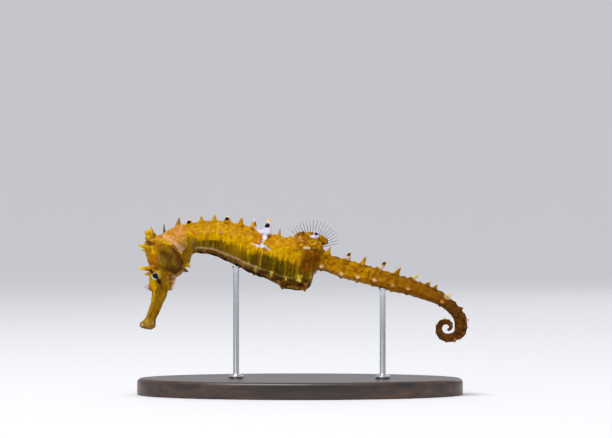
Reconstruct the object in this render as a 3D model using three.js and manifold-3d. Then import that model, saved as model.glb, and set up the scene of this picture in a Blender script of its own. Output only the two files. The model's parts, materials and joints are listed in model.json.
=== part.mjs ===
// A spiny seahorse at life size, a still model that swims level with its head held down,
// on a plain display stand. Millimetres, +Z up. The head is at -X and the tail curls at +X;
// -Y is the animal's left side. The origin is the centre of the underside of the base.
//
// The body is ringed armour: 11 rings round the trunk and 36 round the tail. Every place on it
// is given by a ring number: whole numbers are the raised middles of rings, and the halves
// between them are the joints, where the body is a little slimmer and where it is divided.
import * as THREE from "three";
import { mergeVertices } from "three/addons/utils/BufferGeometryUtils.js";
import Module from "manifold-3d";

const wasm = await Module();
wasm.setup();

// ---- Driving dimensions ----------------------------------------------------------------

const GAP = 0.3; // clearance between neighbouring pieces
const BANK = THREE.MathUtils.degToRad(17); // the animal leans over, belly towards -Y
const BANK_HEIGHT = 42; // height of the line that it leans about
const HEAD_TURN = 0.165; // sideways slope of the head, which looks slightly to +Y

// The body's key rings: ring number, the ridge of the back (x, z), the keel of the belly
// (x, z), and half the width. The curl of the tail carries on from the last of them.
const KEY_RINGS = [
  [-2, -42.9, 47.4, -42.3, 42.9, 1.6],
  [-1, -40.2, 49.2, -39.0, 39.8, 2.7],
  [0, -36.9, 50.9, -33.8, 38.5, 3.0],
  [1, -33.3, 51.5, -32.4, 42.1, 3.1],
  [2, -29.7, 52.2, -29.7, 42.5, 3.2],
  [3, -25.8, 52.4, -26.1, 41.9, 3.4],
  [4, -21.9, 52.1, -22.8, 40.4, 3.7],
  [5, -17.8, 51.2, -19.2, 38.7, 4.0],
  [6, -13.9, 50.2, -15.6, 36.7, 4.2],
  [7, -9.9, 48.7, -12.5, 35.4, 4.4],
  [8, -6.3, 47.5, -8.5, 33.8, 4.5],
  [9, -2.9, 46.9, -4.9, 31.6, 4.5],
  [10, 0.9, 47.7, -1.2, 31.0, 4.3],
  [10.6, 3.2, 47.7, 1.2, 30.9, 4.1],
  [11, 4.8, 47.5, 3.0, 32.2, 3.8],
  [11.3, 6.0, 46.8, 3.7, 34.2, 3.4],
  [11.5, 6.7, 45.4, 3.9, 35.9, 3.1],
  [11.7, 7.1, 43.4, 4.8, 37.1, 2.8],
  [12, 8.3, 41.8, 6.8, 37.3, 2.5],
  [14, 13.9, 40.0, 12.3, 35.1, 2.4],
  [16, 18.7, 38.5, 17.1, 33.9, 2.3],
  [18, 23.6, 36.8, 22.0, 32.7, 2.15],
  [20, 28.8, 35.3, 27.5, 31.0, 2.0],
  [22, 33.5, 33.8, 32.0, 30.0, 1.9],
  [25, 40.2, 31.0, 38.6, 27.8, 1.7],
  [27, 44.1, 28.7, 41.9, 26.4, 1.55],
  [29, 47.8, 25.0, 44.7, 24.0, 1.45],
  [31, 49.6, 21.5, 46.0, 21.6, 1.4],
  [33, 49.1, 17.2, 46.0, 18.5, 1.3],
];
const CURL = {
  x: 43.8,
  z: 19.4,
  firstRing: 35,
  lastRing: 47,
  firstAngle: Math.PI / 3, // below the level, on the +X side
  turnPerRing: 0.567,
  radius: 3.66, // of the middle of the tail, at angle 0
  radiusLoss: 0.396, // per radian
  depth: 2.7,
  depthLoss: 0.265,
};
const TRUNK_END = 11.6; // where the deep trunk steps down to the tail
const FIRST_RING = 1;
const RING_RELIEF = 0.05; // how much slimmer the joints between rings are
const BODY_SIDES = 14;
const TAIL_ROLL = THREE.MathUtils.degToRad(18); // the tail is rolled about its middle line

// Ridges and the faces between them, counted round the section from the back: how far down
// the section (0 back, 1 belly) and how far out (1 is half the width). The trunk has seven
// ridges and the tail four.
const TRUNK_SHAPE = [
  [0.035, 0],
  [0, 0.5],
  [0.2, 0.77],
  [0.42, 1],
  [0.66, 0.95],
  [0.86, 0.66],
  [0.95, 0.34],
  [1, 0],
];
const TAIL_SHAPE = [
  [0.05, 0],
  [0, 0.92],
  [0.24, 0.88],
  [0.5, 0.92],
  [0.74, 0.88],
  [0.93, 0.8],
  [0.985, 0.42],
  [1, 0],
];
const SIDE_RIDGE = 3; // place of the side ridge in the lists above
const SIDE_RIDGE_RISE = 0.022; // how much higher it runs on each ring after the second

// Heights of the spines on the two ridges of the back, ring by ring.
const BACK_SPINES = {
  1: 1.2, 2: 2.2, 3: 2.3, 4: 1.6, 5: 2.5, 6: 2.8, 7: 4.1, 8: 2.1, 9: 0.5, 10: 1.1, 11: 1.2,
  12: 2.2, 14: 2.9, 16: 2.3, 18: 3.3, 20: 2.4, 22: 2.1, 24: 1.4, 25: 1.2, 27: 0.7, 29: 0.7,
  31: 0.4, 37: 0.35,
};
const BLUNT_SPINES = [1, 4, 11, 27, 31];
const SPINE_LEAN = { 14: 0.25, 16: 0.1, 18: 0.45, 20: 0.3, 22: 0.75, 24: 0.3, 25: 0.1 };
const BELLY_SPINE = 0.8;
const BELLY_SPINE_RINGS = [6, 7, 8, 9, 10, 11];
const KEEL_SPINES = [6.6, 8.9, 10.65];

// The body is divided at these joints.
const LENGTHS = [
  ["trunk_front", 2.5, 5.5],
  ["trunk_middle", 5.5, 8.5],
  ["trunk_rear", 8.5, 11.75],
  ["tail_1", 11.75, 15.5],
  ["tail_2", 15.5, 19.5],
  ["tail_3", 19.5, 23.5],
  ["tail_4", 23.5, 27.5],
  ["tail_5", 27.5, 31.5],
  ["tail_6", 31.5, 34.5],
  ["tail_7", 34.5, 37.5],
  ["tail_8", 37.5, 40.5],
  ["tail_9", 40.5, 43.5],
  ["tail_tip", 43.5, 47],
];

// The head hangs down from the neck. Levels from the crown to the mouth: forehead line
// (x, z), throat line (x, z), half the width, and how square the section is.
const HEAD_LEVELS = [
  [-45.3, 47.2, -40.2, 48.4, 1.7, 0.9],
  [-46.7, 45.9, -36.6, 46.7, 2.7, 0.9],
  [-46.7, 43.3, -34.6, 43.3, 3.4, 0.8],
  [-45.9, 40.4, -34.2, 39.8, 3.6, 0.8],
  [-45.1, 37.8, -35.6, 36.6, 3.5, 0.8],
  [-45.2, 35.4, -37.5, 34.9, 3.1, 0.85],
  [-45.1, 33.2, -38.9, 32.8, 2.5, 0.9],
  [-44.4, 31.2, -39.6, 31.2, 1.95, 0.95],
  [-44.3, 29.1, -40.0, 29.0, 1.65, 0.95],
  [-44.7, 26.6, -41.1, 26.6, 1.5, 1],
  [-45.4, 24.4, -42.0, 24.3, 1.45, 1],
  [-46.1, 22.3, -42.9, 22.3, 1.5, 1],
  [-47.3, 21.0, -43.05, 21.0, 1.7, 1],
  [-47.7, 19.9, -43.2, 19.9, 1.65, 1],
  [-46.9, 19.0, -44.4, 18.75, 1.1, 1],
];
const HEAD_SIDES = 16;

// The head meets the neck on a slanting plane through this point.
const HEAD_CUT = { x: -36.4, z: 43.7, lean: THREE.MathUtils.degToRad(25) };

const EYE = { x: -42.6, y: 2.3, z: 34.5, radius: 1.5 };

// Under the cheek a flap of the throat stands down and ends in a corner, where the snout
// begins: its outline (x, z) and thickness.
const THROAT_FLAP = {
  outline: [
    [-40.4, 36.6],
    [-37.0, 36.4],
    [-37.2, 34.6],
    [-37.6, 33.2],
    [-38.4, 31.0],
    [-39.7, 30.9],
    [-41.2, 32.4],
  ],
  thickness: 0.9,
};

// Spines of the head: root (x, y, z), tip (x, y, z), thickness, and whether it is paired.
const HEAD_SPINES = [
  { root: [-42.8, 2.2, 36.9], tip: [-47.9, 3.6, 36.9], radius: 0.85, paired: true }, // brow
  { root: [-45.2, 1.1, 44.3], tip: [-48.4, 2.5, 44.1], radius: 0.9, paired: true }, // crest
  { root: [-43.3, 0, 32.0], tip: [-47.0, 0, 31.9], radius: 1.3, paired: false }, // nose
  { root: [-40.8, 0, 47.2], tip: [-41.1, 0, 51.7], radius: 0.65, paired: false }, // nape
  { root: [-43.7, 1.8, 43.5], tip: [-43.9, 3.2, 43.7], radius: 0.45, paired: true }, // temple
  { root: [-35.8, 0.5, 37.7], tip: [-33.6, 0.8, 36.9], radius: 0.6, paired: true }, // gill
];
const NECK_SPINES = [
  { root: [-36.9, 0, 50.0], tip: [-36.5, 0, 54.0], radius: 1.1, paired: false }, // nape ridge
];
const SHOULDER_SPINES = [
  { root: [-34.6, 1.8, 41.2], tip: [-36.2, 4.4, 41.6], radius: 0.75, paired: true },
];
const CHEST_SPINES = [
  { root: [-34.9, 0.4, 39.4], tip: [-32.7, 0.7, 38.1], radius: 0.7, paired: true },
];

const CORONET = { x: -45.0, foot: 46.6, top: 48.9, waist: 1.1, rim: 1.45, spine: 2.2, points: 5 };

// The low mound on the back that carries the dorsal fin: its middle line (x, z), its
// radius, and how wide it is for its height. Its rear end overhangs the tail a little.
const FIN_MOUND = {
  line: [
    [-1.8, 47.6],
    [1.0, 47.9],
    [3.5, 47.8],
    [6.0, 46.9],
    [8.5, 45.8],
  ],
  radius: 1.3,
  flatness: 0.9,
};

const DORSAL_FIN = {
  x: 3.3,
  z: 43.6,
  radius: 9.3,
  from: THREE.MathUtils.degToRad(14),
  to: THREE.MathUtils.degToRad(134),
  thickness: 0.5,
};
const PECTORAL_FIN = {
  x: -37.2,
  y: 3.85,
  z: 45.2,
  length: 3.9,
  height: 2.5,
  thickness: 0.5,
  fall: THREE.MathUtils.degToRad(44), // it is folded, and points back and down
  spread: 0.1, // how far its rear edge stands out from the body, in radians
};
const ANAL_FIN = { x: 4.0, z: 36.4, length: 1.6, height: 1.0, thickness: 0.5 };

const BASE = { length: 98, width: 44, thickness: 5, bevel: 0.8 };
const ROD = { radius: 0.9, collar: 2.2, collarHeight: 1.2 };
const ROD_RINGS = { stand_rod_front: 5, stand_rod_rear: 19 };

const COLOURS = {
  body: 0xc08c14,
  head: 0xb98412,
  tail: 0x9c6a12,
  fin: 0xb9a98c,
  eye: 0x15110c,
  coronet: 0xcba21c,
  wood: 0x3a2519,
  steel: 0xb8bcc0,
};

// ---- Solids -----------------------------------------------------------------------------

function toSolid(geometry) {
  const bare = geometry.clone();
  bare.deleteAttribute("normal");
  bare.deleteAttribute("uv");
  const merged = mergeVertices(bare, 1e-4);
  return new wasm.Manifold(
    new wasm.Mesh({
      numProp: 3,
      vertProperties: new Float32Array(merged.attributes.position.array),
      triVerts: new Uint32Array(merged.index.array),
    }),
  );
}

function toGeometry(solid) {
  const { vertProperties, triVerts } = solid.getMesh();
  const geometry = new THREE.BufferGeometry();
  geometry.setAttribute("position", new THREE.BufferAttribute(vertProperties, 3));
  geometry.setIndex(new THREE.BufferAttribute(triVerts, 1));
  geometry.computeVertexNormals();
  return geometry;
}

function joined(solids) {
  return solids.reduce((sum, next) => sum.add(next));
}

// A closed tube: a cylinder whose vertices are moved by place(share along, corner, reach),
// where reach is 0 at the middle of an end and 1 on the wall.
function bentTube(sides, steps, place) {
  const cylinder = new THREE.CylinderGeometry(1, 1, 1, sides, steps);
  const spot = cylinder.attributes.position;
  for (let i = 0; i < spot.count; i++) {
    const share = 0.5 - spot.getY(i);
    const reach = Math.min(1, Math.hypot(spot.getX(i), spot.getZ(i)));
    const angle = Math.atan2(spot.getX(i), spot.getZ(i));
    const corner = (Math.round((angle / (2 * Math.PI)) * sides) + sides) % sides;
    const moved = place(share, corner, reach < 0.5 ? 0 : 1);
    spot.setXYZ(i, moved.x, moved.y, moved.z);
  }
  return toSolid(cylinder);
}

// Everything on the side of a plane that its normal points away from.
function below(solid, point, normal) {
  const size = 400;
  const box = new THREE.BoxGeometry(size, size, size);
  box.translate(0, 0, -size / 2);
  const turn = new THREE.Quaternion().setFromUnitVectors(
    new THREE.Vector3(0, 0, 1),
    normal.clone().normalize(),
  );
  box.applyQuaternion(turn);
  box.translate(point.x, point.y, point.z);
  return solid.intersect(toSolid(box));
}

// ---- The ringed body --------------------------------------------------------------------

// The curl: an even spiral whose depth shrinks as it turns.
for (let ring = CURL.firstRing; ring <= CURL.lastRing; ring++) {
  const angle = CURL.firstAngle + (ring - CURL.firstRing) * CURL.turnPerRing;
  const radius = CURL.radius - CURL.radiusLoss * angle;
  const depth = CURL.depth - CURL.depthLoss * angle;
  const out = [Math.cos(angle), -Math.sin(angle)];
  const place = (reach) => [CURL.x + out[0] * reach, CURL.z + out[1] * reach];
  const back = place(radius + depth / 2);
  const belly = place(radius - depth / 2);
  KEY_RINGS.push([ring, ...back, ...belly, 0.5 * depth]);
}

// A column of the key rings at any ring number, on a smooth curve through them.
function keyValue(ring, column) {
  const last = KEY_RINGS.length - 1;
  let i = 0;
  while (i < last - 1 && KEY_RINGS[i + 1][0] < ring) i++;
  const at = (k) => KEY_RINGS[Math.min(Math.max(k, 0), last)];
  const slope = (k) => (at(k + 1)[column] - at(k - 1)[column]) / (at(k + 1)[0] - at(k - 1)[0]);
  const span = at(i + 1)[0] - at(i)[0];
  const u = (ring - at(i)[0]) / span;
  const rise = u * u * (3 - 2 * u);
  return (
    at(i)[column] * (1 - rise) +
    at(i + 1)[column] * rise +
    slope(i) * span * u * (1 - u) * (1 - u) -
    slope(i + 1) * span * u * u * (1 - u)
  );
}

function tailRoll(ring) {
  const { smoothstep } = THREE.MathUtils;
  return TAIL_ROLL * smoothstep(ring, 13.5, 19.5) * (1 - smoothstep(ring, 27, 36));
}

function bodyLine(ring, down) {
  const x = keyValue(ring, 1) * (1 - down) + keyValue(ring, 3) * down;
  const z = keyValue(ring, 2) * (1 - down) + keyValue(ring, 4) * down;
  return new THREE.Vector3(x, 0, z);
}

// A point of the body's surface at a ring number and a corner of the section, moved out by
// grow. Corners run from the back down one side and up the other.
function bodyPoint(ring, corner, grow = 0) {
  const side = corner <= BODY_SIDES / 2 ? 1 : -1;
  const place = side > 0 ? corner : BODY_SIDES - corner;
  const tail = THREE.MathUtils.smoothstep(ring, TRUNK_END - 0.4, TRUNK_END + 0.6);
  const lift = place === SIDE_RIDGE ? SIDE_RIDGE_RISE * Math.max(0, Math.min(ring, 11) - 2) : 0;
  const down = THREE.MathUtils.lerp(TRUNK_SHAPE[place][0] - lift, TAIL_SHAPE[place][0], tail);
  const out = THREE.MathUtils.lerp(TRUNK_SHAPE[place][1], TAIL_SHAPE[place][1], tail);
  const joint = ring > FIRST_RING ? Math.sin(Math.PI * ring) ** 2 : 0;
  const pinch = 1 - RING_RELIEF * joint;
  const back = bodyLine(ring, 0);
  const belly = bodyLine(ring, 1);
  const depth = back.distanceTo(belly);
  const rise = (0.5 - down) * pinch * (depth + 2 * grow);
  const aside = side * out * pinch * (keyValue(ring, 5) + grow);
  const roll = tailRoll(ring);
  const height = (rise * Math.cos(roll) - aside * Math.sin(roll)) / depth;
  const point = bodyLine(ring, 0.5).addScaledVector(back.sub(belly), height);
  point.y = aside * Math.cos(roll) + rise * Math.sin(roll);
  return point;
}

function bodyLength(from, to, grow = 0, inset = 0) {
  const pitch = (ring) => bodyLine(ring + 0.2, 0.5).distanceTo(bodyLine(ring - 0.2, 0.5)) / 0.4;
  const start = from + inset / pitch(from);
  const end = to - inset / pitch(Math.min(to, CURL.lastRing - 0.5));
  const halves = [];
  for (let ring = Math.ceil(start * 2 + 0.3) / 2; ring < end - 0.15; ring += 0.5) halves.push(ring);
  const rings = [start, ...halves, end];
  return bentTube(BODY_SIDES, rings.length - 1, (share, corner, reach) => {
    const ring = rings[Math.round(share * (rings.length - 1))];
    return reach ? bodyPoint(ring, corner, grow) : bodyLine(ring, 0.5);
  });
}

// ---- Spines -----------------------------------------------------------------------------

function spine(root, tip, radius, blunt = 0) {
  const length = root.distanceTo(tip);
  const cone = blunt
    ? new THREE.CylinderGeometry(blunt, radius, length, 5)
    : new THREE.ConeGeometry(radius, length, 4);
  cone.translate(0, length / 2, 0);
  const along = tip.clone().sub(root).normalize();
  cone.applyQuaternion(new THREE.Quaternion().setFromUnitVectors(new THREE.Vector3(0, 1, 0), along));
  cone.translate(root.x, root.y, root.z);
  return toSolid(cone);
}

// A spine on the ridge at a corner of the section: it stands out from the middle of the
// body, with some lean towards the tail.
function ridgeSpine(ring, corner, height, radius, { lean = 0.25, blunt = 0, inward = 0 } = {}) {
  const foot = bodyPoint(ring, corner);
  const roll = tailRoll(ring);
  const straight = bodyLine(ring, 0).sub(bodyLine(ring, 1)).normalize();
  const up = straight.clone().multiplyScalar(Math.cos(roll));
  up.y += Math.sin(roll);
  const across = straight.clone().multiplyScalar(-Math.sin(roll));
  across.y += Math.cos(roll);
  const along = bodyLine(ring + 0.3, 0.5).sub(bodyLine(ring - 0.3, 0.5)).normalize();
  const out = foot.clone().sub(bodyLine(ring, 0.5));
  out.addScaledVector(across, -inward * out.dot(across));
  const away = out.normalize().lerp(up.multiplyScalar(Math.sign(out.dot(up)) || 1), 0.35);
  const direction = away.addScaledVector(along, lean).normalize();
  const root = foot.clone().addScaledVector(direction, -0.6 * radius - 0.15);
  return spine(root, foot.addScaledVector(direction, height), radius, blunt);
}

const BACK_CORNERS = [1, BODY_SIDES - 1];
const SIDE_CORNERS = [SIDE_RIDGE, BODY_SIDES - SIDE_RIDGE];
const BELLY_CORNERS = [5, BODY_SIDES - 5];

function ringSpines(from, to) {
  const made = [];
  for (let ring = Math.ceil(from); ring < to; ring++) {
    const size = bodyLine(ring, 0).distanceTo(bodyLine(ring, 1));
    const height = BACK_SPINES[ring] ?? 0;
    const blunt = BLUNT_SPINES.includes(ring) ? 0.5 : 0;
    const thick = Math.min(0.13 * size + 0.3, 0.35 + 0.35 * height, 1.35);
    const lean = SPINE_LEAN[ring] ?? (ring > TRUNK_END ? 0.12 : 0);
    if (height) {
      for (const corner of BACK_CORNERS)
        made.push(ridgeSpine(ring, corner, height, thick, { lean, blunt, inward: 0.4 }));
    }
    if (ring < TRUNK_END) {
      for (const corner of SIDE_CORNERS) made.push(ridgeSpine(ring, corner, 0.5, 0.6, { lean: 0.1 }));
    }
    if (BELLY_SPINE_RINGS.includes(ring)) {
      for (const corner of BELLY_CORNERS)
        made.push(ridgeSpine(ring, corner, BELLY_SPINE, 0.55, { lean: 0.2 }));
    }
  }
  for (const ring of KEEL_SPINES)
    if (ring > from && ring < to) made.push(ridgeSpine(ring, BODY_SIDES / 2, 0.5, 0.7, { lean: 0.3 }));
  return made;
}

// A tube along the mound's middle line, which is narrower at its two ends.
function finMound(grow = 0) {
  const { line, radius, flatness } = FIN_MOUND;
  const curve = new THREE.CatmullRomCurve3(line.map(([x, z]) => new THREE.Vector3(x, 0, z)));
  const sides = 10;
  return bentTube(sides, 8, (share, corner, reach) => {
    const spot = curve.getPoint(share);
    const along = curve.getTangent(share);
    const up = new THREE.Vector3(-along.z, 0, along.x);
    const size = reach * (radius * (1 - 0.5 * Math.abs(2 * share - 1) ** 10) + grow);
    const angle = (corner / sides) * 2 * Math.PI;
    spot.addScaledVector(along, grow * (2 * share - 1));
    spot.addScaledVector(up, size * Math.cos(angle));
    spot.y = flatness * size * Math.sin(angle);
    return spot;
  });
}

// ---- Head, fins, eyes and coronet ---------------------------------------------------------

function turned(x, y, z) {
  return new THREE.Vector3(x + HEAD_TURN * y, y, z);
}

function straightPlace(x, y, z) {
  return new THREE.Vector3(x, y, z);
}

function headSolid(grow = 0) {
  return bentTube(HEAD_SIDES, HEAD_LEVELS.length - 1, (share, corner, reach) => {
    const [fx, fz, bx, bz, half, power] = HEAD_LEVELS[Math.round(share * (HEAD_LEVELS.length - 1))];
    const angle = (corner / HEAD_SIDES) * 2 * Math.PI;
    const back = 0.5 - 0.5 * Math.cos(angle) * reach * (1 + grow / half);
    const side = Math.sign(Math.sin(angle)) * Math.abs(Math.sin(angle)) ** power * reach;
    return turned(fx + (bx - fx) * back, -side * (half + grow), fz + (bz - fz) * back);
  });
}

function listedSpines(list, place, grow = 0) {
  const made = [];
  for (const { root, tip, radius, paired } of list) {
    for (const side of paired ? [-1, 1] : [1]) {
      const start = place(root[0], root[1] * side, root[2]);
      const end = place(tip[0], tip[1] * side, tip[2]);
      end.addScaledVector(end.clone().sub(start).normalize(), 2 * grow);
      made.push(spine(start, end, radius + 1.5 * grow));
    }
  }
  return made;
}

function throatFlap() {
  const shape = new THREE.Shape(THROAT_FLAP.outline.map(([x, z]) => new THREE.Vector2(x, z)));
  const plate = finPlate(shape, THROAT_FLAP.thickness, 1);
  const spot = plate.attributes.position;
  for (let i = 0; i < spot.count; i++) spot.setX(i, spot.getX(i) + HEAD_TURN * spot.getY(i));
  return toSolid(plate);
}

function eyeBall(side, grow = 0) {
  const ball = new THREE.SphereGeometry(EYE.radius + grow, 12, 8);
  const centre = turned(EYE.x, side * EYE.y, EYE.z);
  ball.translate(centre.x, centre.y, centre.z);
  return toSolid(ball);
}

function coronetSolid() {
  const { x, foot, top, waist, rim, spine: reach, points } = CORONET;
  const profile = [
    [0, foot],
    [1.2, foot],
    [waist, foot + 1],
    [rim, top],
    [0.5, top + 0.2],
    [0, top - 0.1],
  ];
  const column = new THREE.LatheGeometry(profile.map(([r, z]) => new THREE.Vector2(r, z)), 10);
  column.rotateX(Math.PI / 2);
  column.translate(x, 0, 0);
  const pieces = [toSolid(column)];
  for (let i = 0; i < points; i++) {
    const angle = Math.PI + (i * 2 * Math.PI) / points;
    const out = new THREE.Vector3(Math.cos(angle), Math.sin(angle), 0);
    const root = new THREE.Vector3(x, 0, top - 0.6).addScaledVector(out, 0.5);
    const tip = new THREE.Vector3(x, 0, top - 0.3 * Math.cos(angle)).addScaledVector(out, reach);
    pieces.push(spine(root, tip, 0.8));
  }
  pieces.push(spine(new THREE.Vector3(x, 0, top - 0.5), new THREE.Vector3(x + 0.1, 0, top + 2.35), 0.9));
  return joined(pieces);
}

function finPlate(shape, thickness, curveSegments) {
  const plate = new THREE.ExtrudeGeometry(shape, {
    depth: thickness,
    bevelEnabled: false,
    curveSegments,
  });
  plate.rotateX(Math.PI / 2);
  plate.translate(0, thickness / 2, 0);
  return plate;
}

function dorsalFin() {
  const { x, z, radius, from, to, thickness } = DORSAL_FIN;
  const shape = new THREE.Shape();
  shape.moveTo(0, 0);
  shape.absarc(0, 0, radius, from, to, false);
  shape.lineTo(0, 0);
  const plate = finPlate(shape, thickness, 18);
  plate.translate(x, 0, z);
  return toSolid(plate).subtract(bodyLength(8.5, 13, GAP)).subtract(finMound(GAP));
}

function pectoralFin(side) {
  const { x, y, z, length, height, thickness, fall, spread } = PECTORAL_FIN;
  const shape = new THREE.Shape();
  shape.moveTo(0, -0.5 * height);
  shape.lineTo(0.7 * length, -0.72 * height);
  shape.quadraticCurveTo(length, -0.5 * height, length, 0);
  shape.quadraticCurveTo(length, 0.5 * height, 0.7 * length, 0.72 * height);
  shape.lineTo(0, 0.5 * height);
  shape.closePath();
  const plate = finPlate(shape, thickness, 5);
  plate.rotateZ(side * spread);
  plate.rotateY(fall);
  plate.translate(x, side * y, z);
  return toSolid(plate).subtract(joined(listedSpines(SHOULDER_SPINES, straightPlace, GAP)));
}

function analFin() {
  const { x, z, length, height, thickness } = ANAL_FIN;
  const shape = new THREE.Shape();
  shape.moveTo(0, 0);
  shape.lineTo(0.7 * length, -height);
  shape.quadraticCurveTo(length, -0.6 * height, length, 0.15 * height);
  shape.closePath();
  const plate = finPlate(shape, thickness, 4);
  plate.translate(x, 0, z);
  return toSolid(plate).subtract(bodyLength(10.2, 13, GAP));
}

// ---- Stand --------------------------------------------------------------------------------

function baseSolid() {
  const { length, width, thickness, bevel } = BASE;
  const shape = new THREE.Shape();
  shape.absellipse(0, 0, length / 2 - bevel, width / 2 - bevel, 0, 2 * Math.PI, false);
  const slab = new THREE.ExtrudeGeometry(shape, {
    depth: thickness - 2 * bevel,
    bevelThickness: bevel,
    bevelSize: bevel,
    bevelSegments: 1,
    curveSegments: 20,
  });
  slab.translate(0, 0, bevel);
  return toSolid(slab);
}

// A rod stands on the base and ends in a saddle cut to the belly above it.
function rodSolid(ring, body) {
  const { radius, collar, collarHeight } = ROD;
  const foot = BASE.thickness + 0.02;
  const keel = banked(bodyLine(ring, 1));
  const top = keel.z + 1.2;
  const profile = [
    [0, foot],
    [collar, foot],
    [collar, foot + 0.7 * collarHeight],
    [radius + 0.2, foot + collarHeight],
    [radius, foot + collarHeight + 0.3],
    [radius, top - 3],
    [radius + 0.5, top],
    [0, top],
  ];
  const rod = new THREE.LatheGeometry(profile.map(([r, z]) => new THREE.Vector2(r, z)), 10);
  rod.rotateX(Math.PI / 2);
  rod.translate(keel.x, keel.y, 0);
  return toSolid(rod).subtract(body);
}

// ---- Assembly -----------------------------------------------------------------------------

function banked(point) {
  const moved = point.clone();
  moved.z -= BANK_HEIGHT;
  moved.applyAxisAngle(new THREE.Vector3(1, 0, 0), -BANK);
  moved.z += BANK_HEIGHT;
  return moved;
}

function bankedSolid(solid) {
  return solid
    .translate([0, 0, -BANK_HEIGHT])
    .rotate([-THREE.MathUtils.radToDeg(BANK), 0, 0])
    .translate([0, 0, BANK_HEIGHT]);
}

const seahorse = new THREE.Group();

function addPiece(name, solid, colour, roughness = 0.55, metalness = 0) {
  const material = new THREE.MeshStandardMaterial({ color: colour, roughness, metalness });
  const mesh = new THREE.Mesh(toGeometry(solid), material);
  mesh.name = name;
  seahorse.add(mesh);
}

function addAnimalPiece(name, solid, colour, roughness) {
  addPiece(name, bankedSolid(solid), colour, roughness);
}

const cutPoint = new THREE.Vector3(HEAD_CUT.x, 0, HEAD_CUT.z);
const cutNormal = new THREE.Vector3(Math.cos(HEAD_CUT.lean), 0, Math.sin(HEAD_CUT.lean));
const headSide = cutPoint.clone().addScaledVector(cutNormal, -GAP / 2);
const neckSide = cutPoint.clone().addScaledVector(cutNormal, GAP / 2);
const headAndNeck = headSolid().add(bodyLength(-2, 2.5, 0, GAP / 2));

const crownNormal = new THREE.Vector3(0.23, 0, -1);
const crownPoint = new THREE.Vector3(HEAD_LEVELS[0][0], 0, HEAD_LEVELS[0][1] + GAP);

let head = joined([
  below(headAndNeck, headSide, cutNormal),
  throatFlap(),
  ...listedSpines(HEAD_SPINES, turned),
]);
for (const side of [-1, 1]) head = head.subtract(eyeBall(side, GAP));
addAnimalPiece("head", head, COLOURS.head);

const chest = joined([headAndNeck, ...listedSpines(CHEST_SPINES, straightPlace)]);
const neck = below(chest, neckSide, cutNormal.clone().negate());
const neckSpines = listedSpines([...NECK_SPINES, ...SHOULDER_SPINES], straightPlace);
addAnimalPiece("neck", joined([neck, ...neckSpines, ...ringSpines(1, 2.5)]), COLOURS.body);

for (const [name, from, to] of LENGTHS) {
  const length = bodyLength(from, to, 0, GAP / 2);
  const colour = name.startsWith("tail") ? COLOURS.tail : COLOURS.body;
  const mound = name === "trunk_rear" ? [finMound()] : [];
  addAnimalPiece(name, joined([length, ...mound, ...ringSpines(from, to)]), colour);
}

addAnimalPiece("coronet", below(coronetSolid(), crownPoint, crownNormal), COLOURS.coronet);
addAnimalPiece("eye_left", eyeBall(-1), COLOURS.eye, 0.1);
addAnimalPiece("eye_right", eyeBall(1), COLOURS.eye, 0.1);
addAnimalPiece("dorsal_fin", dorsalFin(), COLOURS.fin);
addAnimalPiece("pectoral_fin_left", pectoralFin(-1), COLOURS.fin);
addAnimalPiece("pectoral_fin_right", pectoralFin(1), COLOURS.fin);
addAnimalPiece("anal_fin", analFin(), COLOURS.fin);

const clearance = bankedSolid(bodyLength(3, 22, GAP));
addPiece("stand_base", baseSolid(), COLOURS.wood, 0.5);
for (const [name, ring] of Object.entries(ROD_RINGS))
  addPiece(name, rodSolid(ring, clearance), COLOURS.steel, 0.3, 1);

export default seahorse;
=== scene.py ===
# %% [markdown]
# A spiny seahorse at life size, a still model on a plain display stand.
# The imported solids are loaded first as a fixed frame. Everything after that is laid over
# them in the same place: one skin over head, trunk and tail, then eyes, fins and the stand.

# %% Load the frame
import json

import bpy
import numpy as np
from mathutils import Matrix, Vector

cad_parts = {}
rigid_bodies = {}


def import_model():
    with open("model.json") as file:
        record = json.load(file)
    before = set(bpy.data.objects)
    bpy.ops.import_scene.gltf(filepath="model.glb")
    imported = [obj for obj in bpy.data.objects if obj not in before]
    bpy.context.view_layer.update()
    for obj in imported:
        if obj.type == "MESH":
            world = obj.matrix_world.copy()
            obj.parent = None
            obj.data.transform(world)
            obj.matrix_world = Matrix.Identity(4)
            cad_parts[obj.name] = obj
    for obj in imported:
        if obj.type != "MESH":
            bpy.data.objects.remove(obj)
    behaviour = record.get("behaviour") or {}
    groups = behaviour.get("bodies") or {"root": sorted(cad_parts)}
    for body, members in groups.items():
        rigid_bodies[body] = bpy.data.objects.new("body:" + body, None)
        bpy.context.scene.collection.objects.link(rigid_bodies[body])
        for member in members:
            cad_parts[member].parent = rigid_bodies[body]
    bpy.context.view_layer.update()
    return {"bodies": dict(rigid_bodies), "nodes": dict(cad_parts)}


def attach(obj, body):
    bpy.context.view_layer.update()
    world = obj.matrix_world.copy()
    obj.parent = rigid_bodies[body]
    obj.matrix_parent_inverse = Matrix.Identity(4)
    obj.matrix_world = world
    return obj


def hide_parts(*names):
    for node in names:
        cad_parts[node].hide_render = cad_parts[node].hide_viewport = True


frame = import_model()
scene = bpy.context.scene
MM = 0.001

# %% [markdown]
# Colours are chosen as they look on the animal, in the usual 0 to 255 numbers. Blender
# mixes light in linear values, so each is converted once. The whole palette stands here,
# so that a change of one tone changes it everywhere.

# %% Palette
def tone(red, green, blue):
    """Linear colour: the screen value over 255, raised by the screen's own curve."""
    screen = np.array([red, green, blue]) / 255
    return np.where(screen < 0.04045, screen / 12.92, ((screen + 0.055) / 1.055) ** 2.4)


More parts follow.
